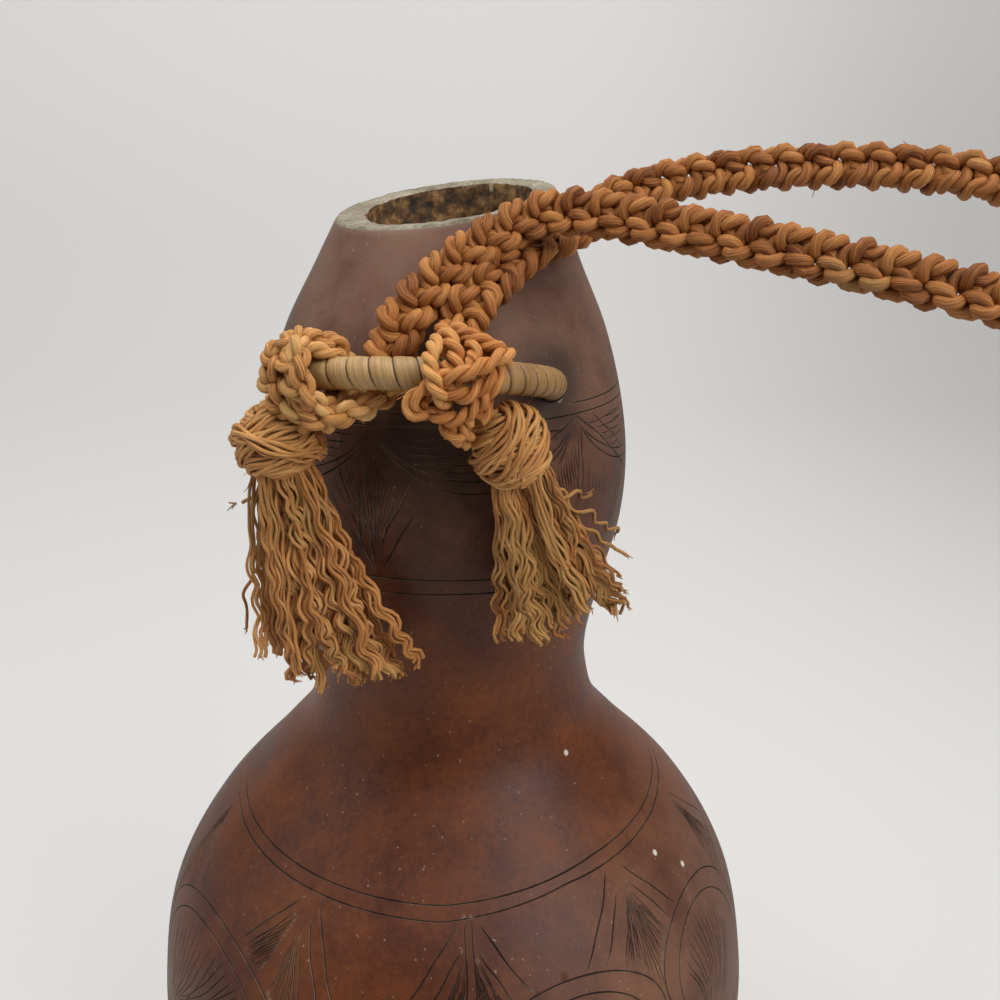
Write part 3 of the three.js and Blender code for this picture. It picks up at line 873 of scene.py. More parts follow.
def cover(step, low, top, holes, lines=()):
    """Triangles over the laid-out skin up to its top border, with the lines as edges and open holes."""
    points, edges = [], []
    chain(points, edges, np.stack([rim_turns * UNROLLED_RADIUS, top], axis=1))
    for loop in holes:
        chain(points, edges, loop, closed=True)
    marks = [skin(np.vstack(holes))]
    for line, half_width in lines:
        radius = np.interp(line[:, 1], outline_reach, outline[:, 0]) / UNROLLED_RADIUS
        heading = unit(np.gradient(line, axis=0) * np.stack([radius, np.ones(len(line))], axis=1))
        aside = np.stack([-heading[:, 1] / radius, heading[:, 0]], axis=1) * half_width[:, None]
        for shifted in (line, (line + aside)[1:-1], (line - aside)[1:-1]):
            chain(points, edges, shifted)
        marks.append(skin(line))
    near_marks = search_tree(np.vstack(marks))
    for row, reach in enumerate(np.arange(low, outline_reach[-1], step)):
        count = int(round(2 * math.pi * np.interp(reach, outline_reach, outline[:, 0]) / step))
        turns = np.linspace(-math.pi, math.pi, count + 1)
        if row % 2:
            turns = np.concatenate([turns[:1], (turns[1:] + turns[:-1]) / 2, turns[-1:]])
        flat = np.stack([turns * UNROLLED_RADIUS, np.full(len(turns), reach)], axis=1)
        keep = reach < np.interp(turns, rim_turns, top) - 0.4 * step
        for loop in holes:
            keep &= ~inside_loop(flat, loop)
        for (x, y), place, kept in zip(flat, skin(flat), keep):
            if kept and (abs(x) > sheet_edge - 1e-9 or near_marks.find(place)[2] > 0.0009):
                points.append((x, y))
    found = delaunay_2d_cdt([Vector(point) for point in points], edges, [], 0, 1e-6)
    flat = np.array([tuple(vertex) for vertex in found[0]])
    faces = np.array(found[2])
    middle = flat[faces].mean(axis=1)
    keep = middle[:, 1] < np.interp(middle[:, 0] / UNROLLED_RADIUS, rim_turns, top)
    for loop in holes:
        keep &= ~inside_loop(middle, loop)
    return flat, faces[keep]


def cut_depths(flat):
    """How deep the cuts are at flat places, and how near their middle, from 0 at the side to 1."""
    rows, halves, depths = [], [], []
    for line, half_width, depth in cuts:
        count = (len(line) - 1) * 8 + 1
        share = np.linspace(0, len(line) - 1, count)
        index = np.arange(len(line))
        rows.append(skin(np.stack([np.interp(share, index, line[:, k]) for k in (0, 1)], axis=1)))
        halves.append(np.interp(share, index, half_width))
        depths.append(np.interp(share, index, depth))
    halves, depths = np.concatenate(halves), np.concatenate(depths)
    tree = search_tree(np.vstack(rows))
    sunk, middle = np.zeros(len(flat)), np.zeros(len(flat))
    for number, place in enumerate(skin(flat)):
        for _, index, distance in tree.find_range(place, 0.00048):
            share = 1 - distance / max(halves[index], 0.0001)
            if share * depths[index] > sunk[number]:
                sunk[number] = share * depths[index]
                middle[number] = share * min(1.0, halves[index] / 0.00025)
    return sunk, middle


# the stretches of the bail, as distances along it, in which each end passes through the wall
hole_ends = [(0.002, 0.0196), (0.1256, bail_reach[-1] - 0.0005)]
outer_holes = [hole_loop(ends, 0.0) for ends in hole_ends]
inner_holes = [hole_loop(ends, GOURD_WALL) for ends in hole_ends]
rim_edge = rim_reaches - RIM_WORN
cavity_edge = np.full(RIM_COLUMNS + 1, on_sheet(0, CAVITY_TOP)[1])

shell_shape = bmesh.new()
cut_layer = shell_shape.verts.layers.float.new("cut")
flat, faces = cover(SKIN_STEP, 0.0, rim_edge, outer_holes, [(line, half) for line, half, _ in cuts])
sunk, middle = cut_depths(flat)
skin_verts = [shell_shape.verts.new(place) for place in skin(flat, sunk)]
for vertex, share in zip(skin_verts, middle):
    vertex[cut_layer] = share
for corners in faces:
    face = shell_shape.faces.new([skin_verts[i] for i in corners])
    face.smooth = bool(sunk[corners].max() < 0.00003)
flat, faces = cover(INSIDE_STEP, 0.012, cavity_edge, inner_holes)
rough = np.array([noise.noise(Vector((70 * x, 70 * y, 3.0))) for x, y in flat])
rough *= np.abs(flat[:, 0]) < sheet_edge - 0.004
rough *= flat[:, 1] < cavity_edge[0] - 0.002
wall_verts = [shell_shape.verts.new(place) for place in skin(flat, GOURD_WALL + 0.0005 * rough)]
for corners in faces:
    face = shell_shape.faces.new([wall_verts[i] for i in corners[::-1]])
    face.material_index = 2
    face.smooth = True
bmesh.ops.remove_doubles(shell_shape, verts=shell_shape.verts, dist=0.000002)


# The lip, the rough bore and its flare into the cavity are drawn on from the skin's top border.

turn_layer = shell_shape.verts.layers.float.new("turn")


def open_border(low, high, side=0):
    """Open edges between two heights, on one side of the gourd if side is -1 or 1."""
    chosen = []
    for edge in shell_shape.edges:
        places = [vertex.co for vertex in edge.verts]
        if len(edge.link_faces) == 1 and all(low < p.z < high and p.x * side >= 0 for p in places):
            chosen.append(edge)
    return chosen


def roughness_at(x, y, z, fineness):
    return noise.noise(Vector((x, y, z)) * fineness)


def lip_place(turn, share, low):
    """A place on the cut lip from the outer edge, share 0, to the mouth, share 1, or down in the bore."""
    rim = np.interp(turn, rim_turns, rim_reaches)
    outer_radius = float(np.interp(rim, outline_reach, outline[:, 0])) - RIM_WORN
    wider = 0.0012 * math.exp(-(((turn + 0.62) / 0.36) ** 2)) - 0.06 * low
    wider += 0.0006 * roughness_at(6 * math.sin(turn), 6 * math.cos(turn), 40 * low, 1.0)
    outer = Vector((outer_radius * math.sin(turn), -outer_radius * math.cos(turn)))
    leaning = float(neck_share(cut_level(*outer)))
    outer *= 1 - NECK_SLIMMER * leaning / outer_radius
    outer.x += NECK_SHIFT * leaning
    mouth = Vector((
        MOUTH_CENTRE[0] + (MOUTH_HALF[0] + wider) * math.sin(turn),
        MOUTH_CENTRE[1] - (MOUTH_HALF[1] + wider) * math.cos(turn),
    ))
    x, y = outer.lerp(mouth, share)
    level = cut_level(x, y) - low
    if low:
        pitted = 0.0007 * roughness_at(x, y, level, 260) + 0.0005 * roughness_at(x, y, level, 620)
        x, y = x + pitted * math.sin(turn), y - pitted * math.cos(turn)
    else:
        level += 0.0004 * roughness_at(x, y, 0, 90) + 0.00025 * roughness_at(x, y, 0, 420)
        level -= 0.0006 * max(0.0, share - 0.8) / 0.2
    return Vector((x, y, level))


def flare_place(turn, share):
    """A place on the flare from the foot of the bore, share 0, to the inner wall, share 1."""
    foot = lip_place(turn, 1, BORE_DEPTH)
    wall = Vector(skin(np.array([(turn * UNROLLED_RADIUS, cavity_edge[0])]), GOURD_WALL)[0])
    place = foot.lerp(wall, share)
    place.z = foot.z + (wall.z - foot.z) * share ** 1.4
    return place


def draw_on(edges, place_of, material_index):
    """Extrudes a border once and puts its new vertices where place_of says for their turn."""
    grown = bmesh.ops.extrude_edge_only(shell_shape, edges=edges)["geom"]
    fresh = {item for item in grown if isinstance(item, bmesh.types.BMVert)}
    for vertex in fresh:
        vertex.co = place_of(vertex[turn_layer])
        vertex[cut_layer] = 0.0
    for item in grown:
        if isinstance(item, bmesh.types.BMFace):
            item.material_index = material_index
            item.smooth = True
    return [item for item in grown if isinstance(item, bmesh.types.BMEdge) and set(item.verts) <= fresh]


lip_edges = open_border(0.38, 0.42)
for edge in lip_edges:
    for vertex in edge.verts:
        vertex[turn_layer] = math.atan2(vertex.co.x - NECK_SHIFT * neck_share(vertex.co.z), -vertex.co.y)
for share in (0, 0.1, 0.3, 0.5, 0.7, 0.86, 0.96, 1):
    lip_edges = draw_on(lip_edges, lambda turn: lip_place(turn, share, 0), 1)
for low in np.linspace(0, BORE_DEPTH, 10)[1:]:
    lip_edges = draw_on(lip_edges, lambda turn: lip_place(turn, 1, low), 2)
for share in np.linspace(0, 1, 9)[1:]:
    lip_edges = draw_on(lip_edges, lambda turn: flare_place(turn, share), 2)
bmesh.ops.remove_doubles(shell_shape, verts=shell_shape.verts, dist=0.000004)
for side in (-1, 1):
    for face in bmesh.ops.bridge_loops(shell_shape, edges=open_border(0.32, 0.358, side))["faces"]:
        face.material_index = 1
for edges in (open_border(-0.001, 0.001), open_border(0.001, 0.02)):
    bmesh.ops.holes_fill(shell_shape, edges=edges)
bmesh.ops.recalc_face_normals(shell_shape, faces=shell_shape.faces)
for edge in shell_shape.edges:
    if any(face.material_index for face in edge.link_faces) and edge.calc_face_angle(0) > 0.75:
        edge.smooth = False

WALNUT = (0.030, 0.0085, 0.0030)
CHESTNUT = (0.078, 0.0205, 0.0072)
RUSSET = (0.150, 0.042, 0.0105)
DUST_AND_SHEEN = (0.205, 0.122, 0.084)
HOLE_DIRT = (0.030, 0.020, 0.014)
FRONT_SHADOW_AND_DIRT = (0.012, 0.005, 0.0025)
BARE = (0.36, 0.33, 0.26)
SPECK = (0.33, 0.25, 0.19)
WORN = (0.22, 0.16, 0.12)
CHALKY = (0.62, 0.56, 0.48)

# The skin is stained round the bail's holes, darkened under the bail by stain and painted shadow, bare
# beside the right hole, and has three pale spots. The pale crack inside the mouth, at the back, has its
# place across and its foot's height.
HOLE_STAINS = [(-0.048, -0.033, 0.344), (0.033, -0.047, 0.3458)]
BARE_SPOT = (0.0362, -0.0478, 0.3424)
FRONT_SHADOW_AND_STAIN = (-0.006, -0.064, 0.331)
PALE_SPOTS = [(0.0720, -0.0455, 0.1814), (0.0830, -0.0405, 0.1728), (0.0403, -0.0366, 0.2152)]
PALE_CRACK = (0.0150, 0.3992)


def step_mask(tree, value, start, end):
    """0 before start and 1 after end, smooth between them; end may be the lower one."""
    inputs = {0: value, 1: start, 2: end, 3: 0.0, 4: 1.0}
    return add_node(tree, "ShaderNodeMapRange", inputs, interpolation_type="SMOOTHSTEP").outputs[0]


def spot_mask(tree, place, centre, reach, core, uneven=0.0, amount=0.0):
    """0 past a reach from a centre and 1 in its core, with an edge made uneven by an amount."""
    away = add_node(tree, "ShaderNodeVectorMath", {0: place, 1: centre}, operation="DISTANCE")
    edge = weighed(tree, (away.outputs["Value"], 1.0), (uneven, amount))
    return step_mask(tree, edge, reach, core)


def below_rim(tree, place):
    """How far a place lies below the slanting cut of the mouth."""
    across, depth, height = add_node(tree, "ShaderNodeSeparateXYZ", {0: place}).outputs
    level = maths(tree, "ADD", weighed(tree, (across, RIM_RISE_X), (depth, RIM_RISE_Y)), RIM_LEVEL)
    return maths(tree, "SUBTRACT", level, height)


def skin_finish():
    """Stained, polished skin: chestnut, russet at the waist, dust and painted sheen at the mouth, painted
    sheen low on the right, painted shadow and stain under the bail, dark in the cuts.
    """
    material, tree, shader = new_material("gourd_skin")
    place = add_node(tree, "ShaderNodeTexCoord").outputs["Object"]
    across, _, height = add_node(tree, "ShaderNodeSeparateXYZ", {0: place}).outputs
    broad = texture(tree, place, 14.0, 2.0, 0.55)
    clouds = texture(tree, place, 46.0, 6.0, 0.66)
    grains = texture(tree, place, 520.0, 2.0, 0.55)
    waist = times(tree, step_mask(tree, height, 0.155, 0.215), step_mask(tree, height, 0.315, 0.25))
    grade = weighed(tree, (broad, 0.55), (clouds, 0.55), (grains, 0.22), (waist, 0.04))
    colour = ramp(tree, grade, [(0.44, WALNUT), (0.62, CHESTNUT), (0.82, RUSSET)])

    # the grey near the mouth is partly dust and partly painted sheen; low on the right of the lower bulb it
    # is painted sheen, a window's reflection
    neck = step_mask(tree, height, 0.275, 0.375)
    right = times(tree, step_mask(tree, across, 0.0, 0.07), step_mask(tree, height, 0.215, 0.16))
    dust_and_sheen = maths(tree, "MAXIMUM", times(tree, neck, 0.85), times(tree, right, 0.5))
    mottle = maths(tree, "ADD", 0.35, times(tree, step_mask(tree, clouds, 0.30, 0.70), 0.6))
    dust_and_sheen = times(tree, dust_and_sheen, mottle)
    colour = mixed(tree, dust_and_sheen, colour, DUST_AND_SHEEN)

    for stain in HOLE_STAINS:
        dark = spot_mask(tree, place, stain, 0.028, 0.011, clouds, 0.012)
        colour = mixed(tree, times(tree, dark, 0.8), colour, HOLE_DIRT)
    # painted shadow of the bail and hitches, mixed with a real stain, darkens the skin under the bail
    under = spot_mask(tree, place, FRONT_SHADOW_AND_STAIN, 0.046, 0.014, clouds, 0.02)
    colour = mixed(tree, times(tree, under, 0.78), colour, FRONT_SHADOW_AND_DIRT)
    chip = spot_mask(tree, place, BARE_SPOT, 0.0058, 0.0046, texture(tree, place, 330.0, 3.0, 0.55), 0.006)
    colour = mixed(tree, times(tree, chip, 0.8), colour, BARE)
    specks = step_mask(tree, texture(tree, place, 900.0, 0.0), 0.80, 0.86)
    colour = mixed(tree, times(tree, specks, 0.5), colour, SPECK)
    worn = step_mask(tree, below_rim(tree, place), 0.0022, 0.0)
    colour = mixed(tree, times(tree, worn, 0.6), colour, WORN)

    cut_share = add_node(tree, "ShaderNodeAttribute", attribute_name="cut").outputs["Fac"]
    raw = mixed(tree, step_mask(tree, clouds, 0.42, 0.60), (0.045, 0.024, 0.014), (0.17, 0.11, 0.07))
    colour = mixed(tree, step_mask(tree, cut_share, 0.02, 0.30), colour, raw)
    # where that painted shadow and stain lie, the cuts' cores are paler
    core = mixed(tree, under, (0.015, 0.008, 0.005), (0.125, 0.070, 0.040))
    colour = mixed(tree, step_mask(tree, cut_share, 0.30, 0.75), colour, core)
    for spot in PALE_SPOTS:
        colour = mixed(tree, spot_mask(tree, place, spot, 0.0014, 0.0009), colour, CHALKY)

    gloss = weighed(tree, (clouds, 0.24), (dust_and_sheen, 0.22), (cut_share, 0.3))
    gloss = maths(tree, "ADD", gloss, 0.36)
    relief = weighed(tree, (clouds, 0.6), (grains, 0.25))
    coat(tree, shader, colour, gloss, relief, 0.35, 0.0006, specular=0.27)
    return material


def lip_finish():
    """Raw cut edge of the shell: pale grey-tan pith with darker pores and handling dirt."""
    material, tree, shader = new_material("gourd_lip")
    place = add_node(tree, "ShaderNodeTexCoord").outputs["Object"]
    pores = texture(tree, place, 700.0, 4.0, 0.65)
    patches = texture(tree, place, 95.0, 4.0, 0.6)
    grade = weighed(tree, (pores, 0.5), (patches, 0.6))
    colour = ramp(tree, grade, [
        (0.36, (0.080, 0.056, 0.031)), (0.52, (0.205, 0.170, 0.112)), (0.70, (0.36, 0.325, 0.235)),
    ])
    coat(tree, shader, colour, 0.72, grade, 0.7, 0.0006)
    return material


def inside_finish():
    """Inside of the shell: brown, spongy pith in patches, with pale threads and dark hollows."""
    material, tree, shader = new_material("gourd_inside")
    place = add_node(tree, "ShaderNodeTexCoord").outputs["Object"]
    sponge = texture(tree, place, 260.0, 5.0, 0.7)
    patches = texture(tree, place, 62.0, 4.0, 0.6)
    grade = weighed(tree, (sponge, 0.62), (patches, 0.42))
    colour = ramp(tree, grade, [
        (0.42, (0.016, 0.008, 0.003)), (0.52, (0.10, 0.045, 0.012)),
        (0.62, (0.27, 0.14, 0.042)), (0.74, (0.50, 0.31, 0.12)),
    ])
    across, depth, height = add_node(tree, "ShaderNodeSeparateXYZ", {0: place}).outputs
    crack = maths(tree, "ABSOLUTE", maths(tree, "SUBTRACT", across, PALE_CRACK[0]))
    crack = times(tree, step_mask(tree, crack, 0.0009, 0.0003), step_mask(tree, depth, 0.0, 0.01))
    crack = times(tree, crack, step_mask(tree, height, PALE_CRACK[1] - 0.0015, PALE_CRACK[1]))
    colour = mixed(tree, times(tree, crack, 0.75), colour, (0.62, 0.52, 0.33))
    coat(tree, shader, colour, 0.8, grade, 1.0, 0.0012)
    return material


shell_shape.verts.layers.float.remove(turn_layer)
gourd = new_piece("gourd", shell_shape)
for finish in (skin_finish(), lip_finish(), inside_finish()):
    gourd.data.materials.append(finish)
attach(gourd, "root")
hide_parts("gourd_shell")


# Hitches
# Each end of the strap is wrapped round the bail and back over itself: on the left still plaited, on
# the right with its strands parted. Its fibre is paler there than along the strap, most of all on the
# left, partly its own colour and partly painted light for the front; its end comes down into a bound knob.

HITCH_WIDTH = 0.0031
HITCH_THICKNESS = 0.0017
HITCH_PITCH = 0.0195
HITCH_PLY = 0.00135
HITCH_STEP = 0.0008
ROPE_LAY = 0.0105


def by_bail(rows):
    """Places given in millimetres as distance along the bail, out in front of it and up above it."""
    points = []
    for distance, out, up in rows:
        outward, upward = bail_frame(distance / 1000)
        points.append(on_bail(distance / 1000) + (out * outward + up * upward) / 1000)
    return points


def clear_of_gourd(points, margin):
    """The points, moved straight out from the gourd's axis to a margin from its skin where needed."""
    near = np.interp(points[:, 2], outline[:, 2], outline[:, 0]) + margin
    reach = np.hypot(points[:, 0], points[:, 1])
    scale = np.maximum(1.0, near / np.maximum(reach, 1e-6))
    return points * np.stack([scale, scale, np.ones(len(points))], axis=1)


def kept_clear(cords):
    clear = []
    for points, radii, tone in cords:
        clear.append((clear_of_gourd(points, float(np.max(radii)) + 0.0004), radii, tone))
    return clear


def facing_off_bail(line):
    """Direction away from the nearest point of the bail, for each point of a line."""
    nearest = [np.argmin(np.linalg.norm(bail_line - point, axis=1)) for point in line]
    return unit(line - bail_line[nearest])


def hitch_piece(name, cords, finish):
    piece = cord_mesh("strap_" + name, kept_clear(cords))
    piece.data.materials.append(finish)
    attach(piece, "root")
    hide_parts(name)
    return piece


LEFT_TURNS = [
    (79.5, -10.5, -2.0), (77.5, -8.0, -5.5), (73.5, -3.5, -8.7), (69, 2.5, -10.7), (64.5, 5.5, -11.3),
    (60, 8.0, -9.8), (57, 10.0, -5.6), (56, 10.5, 0.0), (56.5, 9.5, 5.0), (58.5, 5.5, 8.2),
    (60.2, 0, 8.7), (62.0, -5.5, 6.6), (62.5, -8.0, 1.5), (63, -6.5, -5.0), (64, -2.0, -8.5),
    (64.5, 4.0, -9.0), (64.5, 9.0, -6.0), (64.0, 11.0, -0.5), (63, 10.2, 4.6), (60.5, 6.8, 8.4),
    (56.5, 1.2, 9.5), (53, -3.5, 7.5), (51, -5.0, 2.5), (50, -4.5, -3.5), (49, -0.5, -8.0),
]
left_points = [(-0.0125, -0.063, 0.353), (-0.0125, -0.0640, 0.349)] + by_bail(LEFT_TURNS)
left_points += [(-0.0435, -0.0640, 0.3440), (-0.0435, -0.0665, 0.3395)]
left_line = smooth_line(left_points, HITCH_STEP)
left_share = length_along(left_line) / length_along(left_line)[-1]
left_size = np.interp(left_share, [0, 0.12, 1], [1.2, 0.98, 0.90])
left_lobe = smooth_line(by_bail([
    (59, 4.0, 6.6), (61.2, 4.5, 7.2), (64.2, 3.0, 6.8), (66.6, 0.0, 5.4), (67, -4.0, 2.2),
]), 0.0012)
left_crest = smooth_line(by_bail([
    (59.5, 7.5, 3.0), (60, 6.0, 7.4), (59.8, 2.5, 10.4), (59.5, -2.0, 9.6), (60, -6, 6),
]), 0.0012)
left_tail = smooth_line([
    (-0.0350, -0.0690, 0.3440), (-0.0318, -0.0700, 0.3405),
    (-0.0312, -0.0698, 0.3355), (-0.0328, -0.0688, 0.3305),
], 0.001)
left_cords = plait(
    left_line, facing_off_bail(left_line), HITCH_WIDTH, HITCH_THICKNESS, HITCH_PITCH, HITCH_PLY,
    left_size, step=HITCH_STEP,
)
left_cords += two_plies(left_lobe, 0.00125, ROPE_LAY, tone=0.6)
left_cords += two_plies(left_crest, 0.0013, ROPE_LAY, tone=0.8)
left_cords += two_plies(left_tail, 0.0011, ROPE_LAY, tone=0.1)
left_cords += loose_fibres(left_cords, 40, 0.005, numbers)
# this fibre is brighter than the strap's: partly its own colour, partly painted light for the light falling
# on the hitch's front
left_finish = fibre_finish(
    "left_hitch_fibre",
    dark=(0.20, 0.060, 0.014),
    middle=(0.66, 0.30, 0.088),
    light=(0.88, 0.54, 0.21),
    odd=(0.62, 0.44, 0.18),
    odd_share=0.34,
    streaks=4.6,
)
hitch_left = hitch_piece("hitch_left", left_cords, left_finish)

# the ropes of the right hitch, from the one underneath to those on top, and how pale each one is
RIGHT_ROPES = [
    (0.35, [(99, -9.5, 12.0), (99.5, -7, 6.0), (99, -7.5, 0), (98.5, -6, -5.5), (98, -1.5, -8.5),
            (98.5, 2.5, -9.5)]),
    (0.35, [(103, -9.0, 9.0), (105, -4.5, 8.5), (108, 0.5, 8.5), (111.0, 1.5, 6.5), (112.2, -2.0, 4.0),
            (112.5, -6, -1.0), (112, -4.5, -6.0), (110.5, -0.5, -9.5), (108, 2.0, -11.0)]),
    (0.7, [(97, -8.0, 10.0), (98, -3.0, 10.0), (99, 2.0, 8.5), (100, 5.0, 5.0), (100, 5.5, 1.0),
           (99.5, 4.5, -3.0)]),
    (0.6, [(101, -6.0, 11.0), (103.0, -1.5, 10.5), (106, 3.0, 9.4), (109, 4.5, 8.3), (111, 4.0, 6.0)]),
    (0.75, [(103, -2.0, 9.0), (104, 3.0, 8.2), (103.5, 6.0, 5.5), (102.8, 6.5, 2.5), (102.5, 6.0, -0.5)]),
    (0.4, [(96.5, 4.0, 3.0), (97.5, 6.5, 1.0), (98.5, 6.8, -1.0), (98.8, 5.5, -4.0)]),
    (0.55, [(95.5, 5.0, -0.5), (97.8, 8.0, -2.6), (101, 9.0, -3.6), (104, 8.8, -2.4), (106.5, 8.0, 0.3),
            (108.0, 5.5, 3.0)]),
    (0.72, [(112.2, 2.5, 4.5), (110.8, 7.0, 7.2), (107.8, 9.0, 6.4), (104.5, 9.8, 4.2), (100.5, 10.0, 2.2),
            (96.6, 8.0, 0.6), (93.5, 6.5, -2.2), (91.2, 7.2, -3.6), (89.6, 7.4, -6.2), (90.2, 6.8, -8.8),
            (92.4, 5.0, -9.6), (94.5, 1, -8.5)]),
    (0.4, [(94, 5, -3.5), (91.8, 6.0, -5.8), (92.2, 5.5, -8.2), (94.5, 3, -9)]),
    (0.55, [(93.5, 1.5, -6.5), (95.0, 5.5, -8.9), (98.6, 6.8, -10.3), (102.5, 7.2, -9.0), (105.4, 8.0, -5.6),
            (107.5, 8.2, -1.4), (109.4, 6.4, 2.2), (110.5, 1.5, 5.0), (109, -4, 5.0)]),
    (0.95, [(95.8, -2.0, 8.5), (94.8, 3.0, 7.6), (93.8, 6.8, 4.8), (94.4, 8.8, 1.4), (95.6, 9.4, -1.8),
            (96.8, 8.4, -4.6), (97.6, 5.0, -6.0), (97.8, 1.0, -6.2)]),
    (0.6, [(99, 1.5, -9.0), (98.5, 3.0, -12.5), (100.5, 3.5, -15.5), (103.5, 2.0, -17.0)]),
    (0.75, [(103.5, 3.0, -9.5), (104, 2.5, -13.5), (106, -0.5, -18.5)]),
]
right_cords = []
for tone, rows in RIGHT_ROPES:
    rope = smooth_line(by_bail(rows), HITCH_STEP)
    thick = numbers.uniform(0.00115, 0.00130)
    lay = ROPE_LAY * numbers.uniform(0.85, 1.1)
    right_cords += two_plies(rope, thick, lay, start=numbers.uniform(0, 6), tone=tone)
right_leg = [(0.0070, -0.061, 0.3565), (0.0072, -0.0625, 0.353), *by_bail([(100, -8.5, 6), (100, -9, 0)])]
right_leg = smooth_line(right_leg, 0.001)
right_cords += plait(right_leg, STRAP_FACE, 0.0034, 0.0019, HITCH_PITCH, 0.00155)
right_cords += loose_fibres(right_cords, 60, 0.005, numbers)
# this fibre is brighter than the strap's: partly its own colour, partly painted light for the light falling
# on the hitch's front
right_finish = fibre_finish(
    "right_hitch_fibre",
    dark=(0.15, 0.036, 0.008),
    middle=(0.56, 0.19, 0.044),
    light=(0.84, 0.44, 0.14),
    odd=(0.56, 0.38, 0.14),
    odd_share=0.28,
    streaks=4.6,
)
hitch_right = hitch_piece("hitch_right", right_cords, right_finish)


# Knobs
# The strands' ends are bound into a ball with flat locks of the same fibre, in slanted turns that
# cross each other, and below the last turn the fibre is left loose.

KNOB_LEFT = {
    "centre": (-0.0435, -0.0665, 0.3345), "axis": (0.1, 0.02, -1), "radius": 0.0108, "half": 0.011,
}
KNOB_RIGHT = {
    "centre": (0.0200, -0.0705, 0.3347), "axis": (0.42, -0.02, -0.9), "radius": 0.0098, "half": 0.0103,
}
KNOB_FIBRE = 0.00062

# this fibre is brighter than the strap's: partly its own colour, partly painted light for the light falling
# on the knobs' front
binding_finish = fibre_finish(
    "binding_fibre",
    dark=(0.20, 0.062, 0.015),
    middle=(0.64, 0.29, 0.085),
    light=(0.90, 0.55, 0.21),
    odd=(0.62, 0.43, 0.18),
    odd_share=0.30,
    streaks=2.2,
)


def axis_frame(axis):
    along = np.asarray(axis, float)
    along = along / np.linalg.norm(along)
    side = np.cross(along, (0, 1, 0))
    side /= np.linalg.norm(side)
    return along, side, np.cross(along, side)


def wound_turns(knob, turns, slant, swing, grow, tops):
    """A line wound over the knob from the first to the second of its tops, with each turn slanted."""
    along, side, other = axis_frame(knob["axis"])
    points = []
    for i in range(int(turns * 28)):
        share = i / (turns * 28 - 1)
        angle = 2 * math.pi * turns * share
        latitude = math.radians(tops[0] + (tops[1] - tops[0]) * share)
        latitude += math.radians(slant) * math.sin(angle + swing) * math.cos(latitude)
        latitude += 0.07 * math.sin(2.7 * angle + 2 * swing)
        out = (knob["radius"] + grow) * math.cos(latitude)
        level = (knob["half"] + grow) * math.sin(latitude)
        bulge = 0.0005 * math.sin(3.3 * angle + swing)
        point = np.array(knob["centre"]) + along * level
        points.append(point + (out + bulge) * (math.cos(angle) * side + math.sin(angle) * other))
    return np.array(points)


def flat_lock(line, facing, fibres, radius, draw, crossing=0.8, crown=1.3, tone=0.5):
    """Fibres side by side along a line, heaped in the middle; their broad side looks along facing."""
    _, beside, normal = side_frames(line, facing)
    reach = length_along(line)
    lock = []
    for number in range(fibres):
        share = (number - (fibres - 1) / 2) / (fibres / 2)
        place = share * fibres / 2 * 1.7 * radius
        wander = crossing * radius * np.sin(reach / draw.uniform(0.0016, 0.003) + draw.uniform(0, 6.28))
        lift = 0.5 * radius * np.sin(reach / draw.uniform(0.002, 0.004) + draw.uniform(0, 6.28))
        lift += crown * radius * math.cos(1.57 * share)
        path = line + beside * (place + wander)[:, None] + normal * lift[:, None]
        thick = radius * draw.uniform(0.82, 1.18)
        lock.append((path, np.full(len(path), thick), min(1.0, max(0.0, draw.gauss(tone, 0.2)))))
    return lock


def knob(name, form, windings, seed):
    """A ball of windings, each with its turns, slant, swing, growth, tops and number of fibres."""
    draw = random.Random(seed)
    cords = []
    for turns, slant, swing, grow, tops, fibres in windings:
        line = equal_steps(wound_turns(form, turns, slant, swing, grow, tops), 0.0013)
        cords += flat_lock(line, line - np.array(form["centre"]), fibres, KNOB_FIBRE, draw)
    along = axis_frame(form["axis"])[0]
    heart = [np.array(form["centre"]) + along * form["half"] * t for t in np.linspace(-0.86, 0.86, 15)]
    girth = [form["radius"] * 0.93 * math.sqrt(1 - 0.98 * t * t) for t in np.linspace(-0.98, 0.98, 15)]
    cords.append((np.array(heart), np.array(girth), 0.0))
    cords += loose_fibres(cords[:-1], 26, 0.006, draw)
    piece = cord_mesh("bound_" + name, kept_clear(cords), roundness=1)
    piece.data.materials.append(binding_finish)
    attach(piece, "root")
    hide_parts(name)
    return piece


knob_left = knob("knob_left", KNOB_LEFT, [
    (5.4, 13, 1.2, -0.0010, (-78, 74), 5),
    (2.6, 24, 4.0, 0.0004, (-42, 38), 5),
    (0.9, 30, 2.2, 0.0014, (4, 20), 4),
], 41)
knob_right = knob("knob_right", KNOB_RIGHT, [
    (5.0, 18, 2.2, -0.0010, (-78, 74), 5),
    (2.3, 34, 5.1, 0.0004, (-35, 50), 5),
    (1.3, 22, 0.6, 0.0012, (44, 60), 6),
], 43)


# Tassels
# Below each knob the fibre hangs loose in flat locks that keep the waves of the plait, spread to a
# fan, with frayed tips and a few strays. Swing is in degrees and reach is a lock's length, each from
# the left side of the tassel to the right.

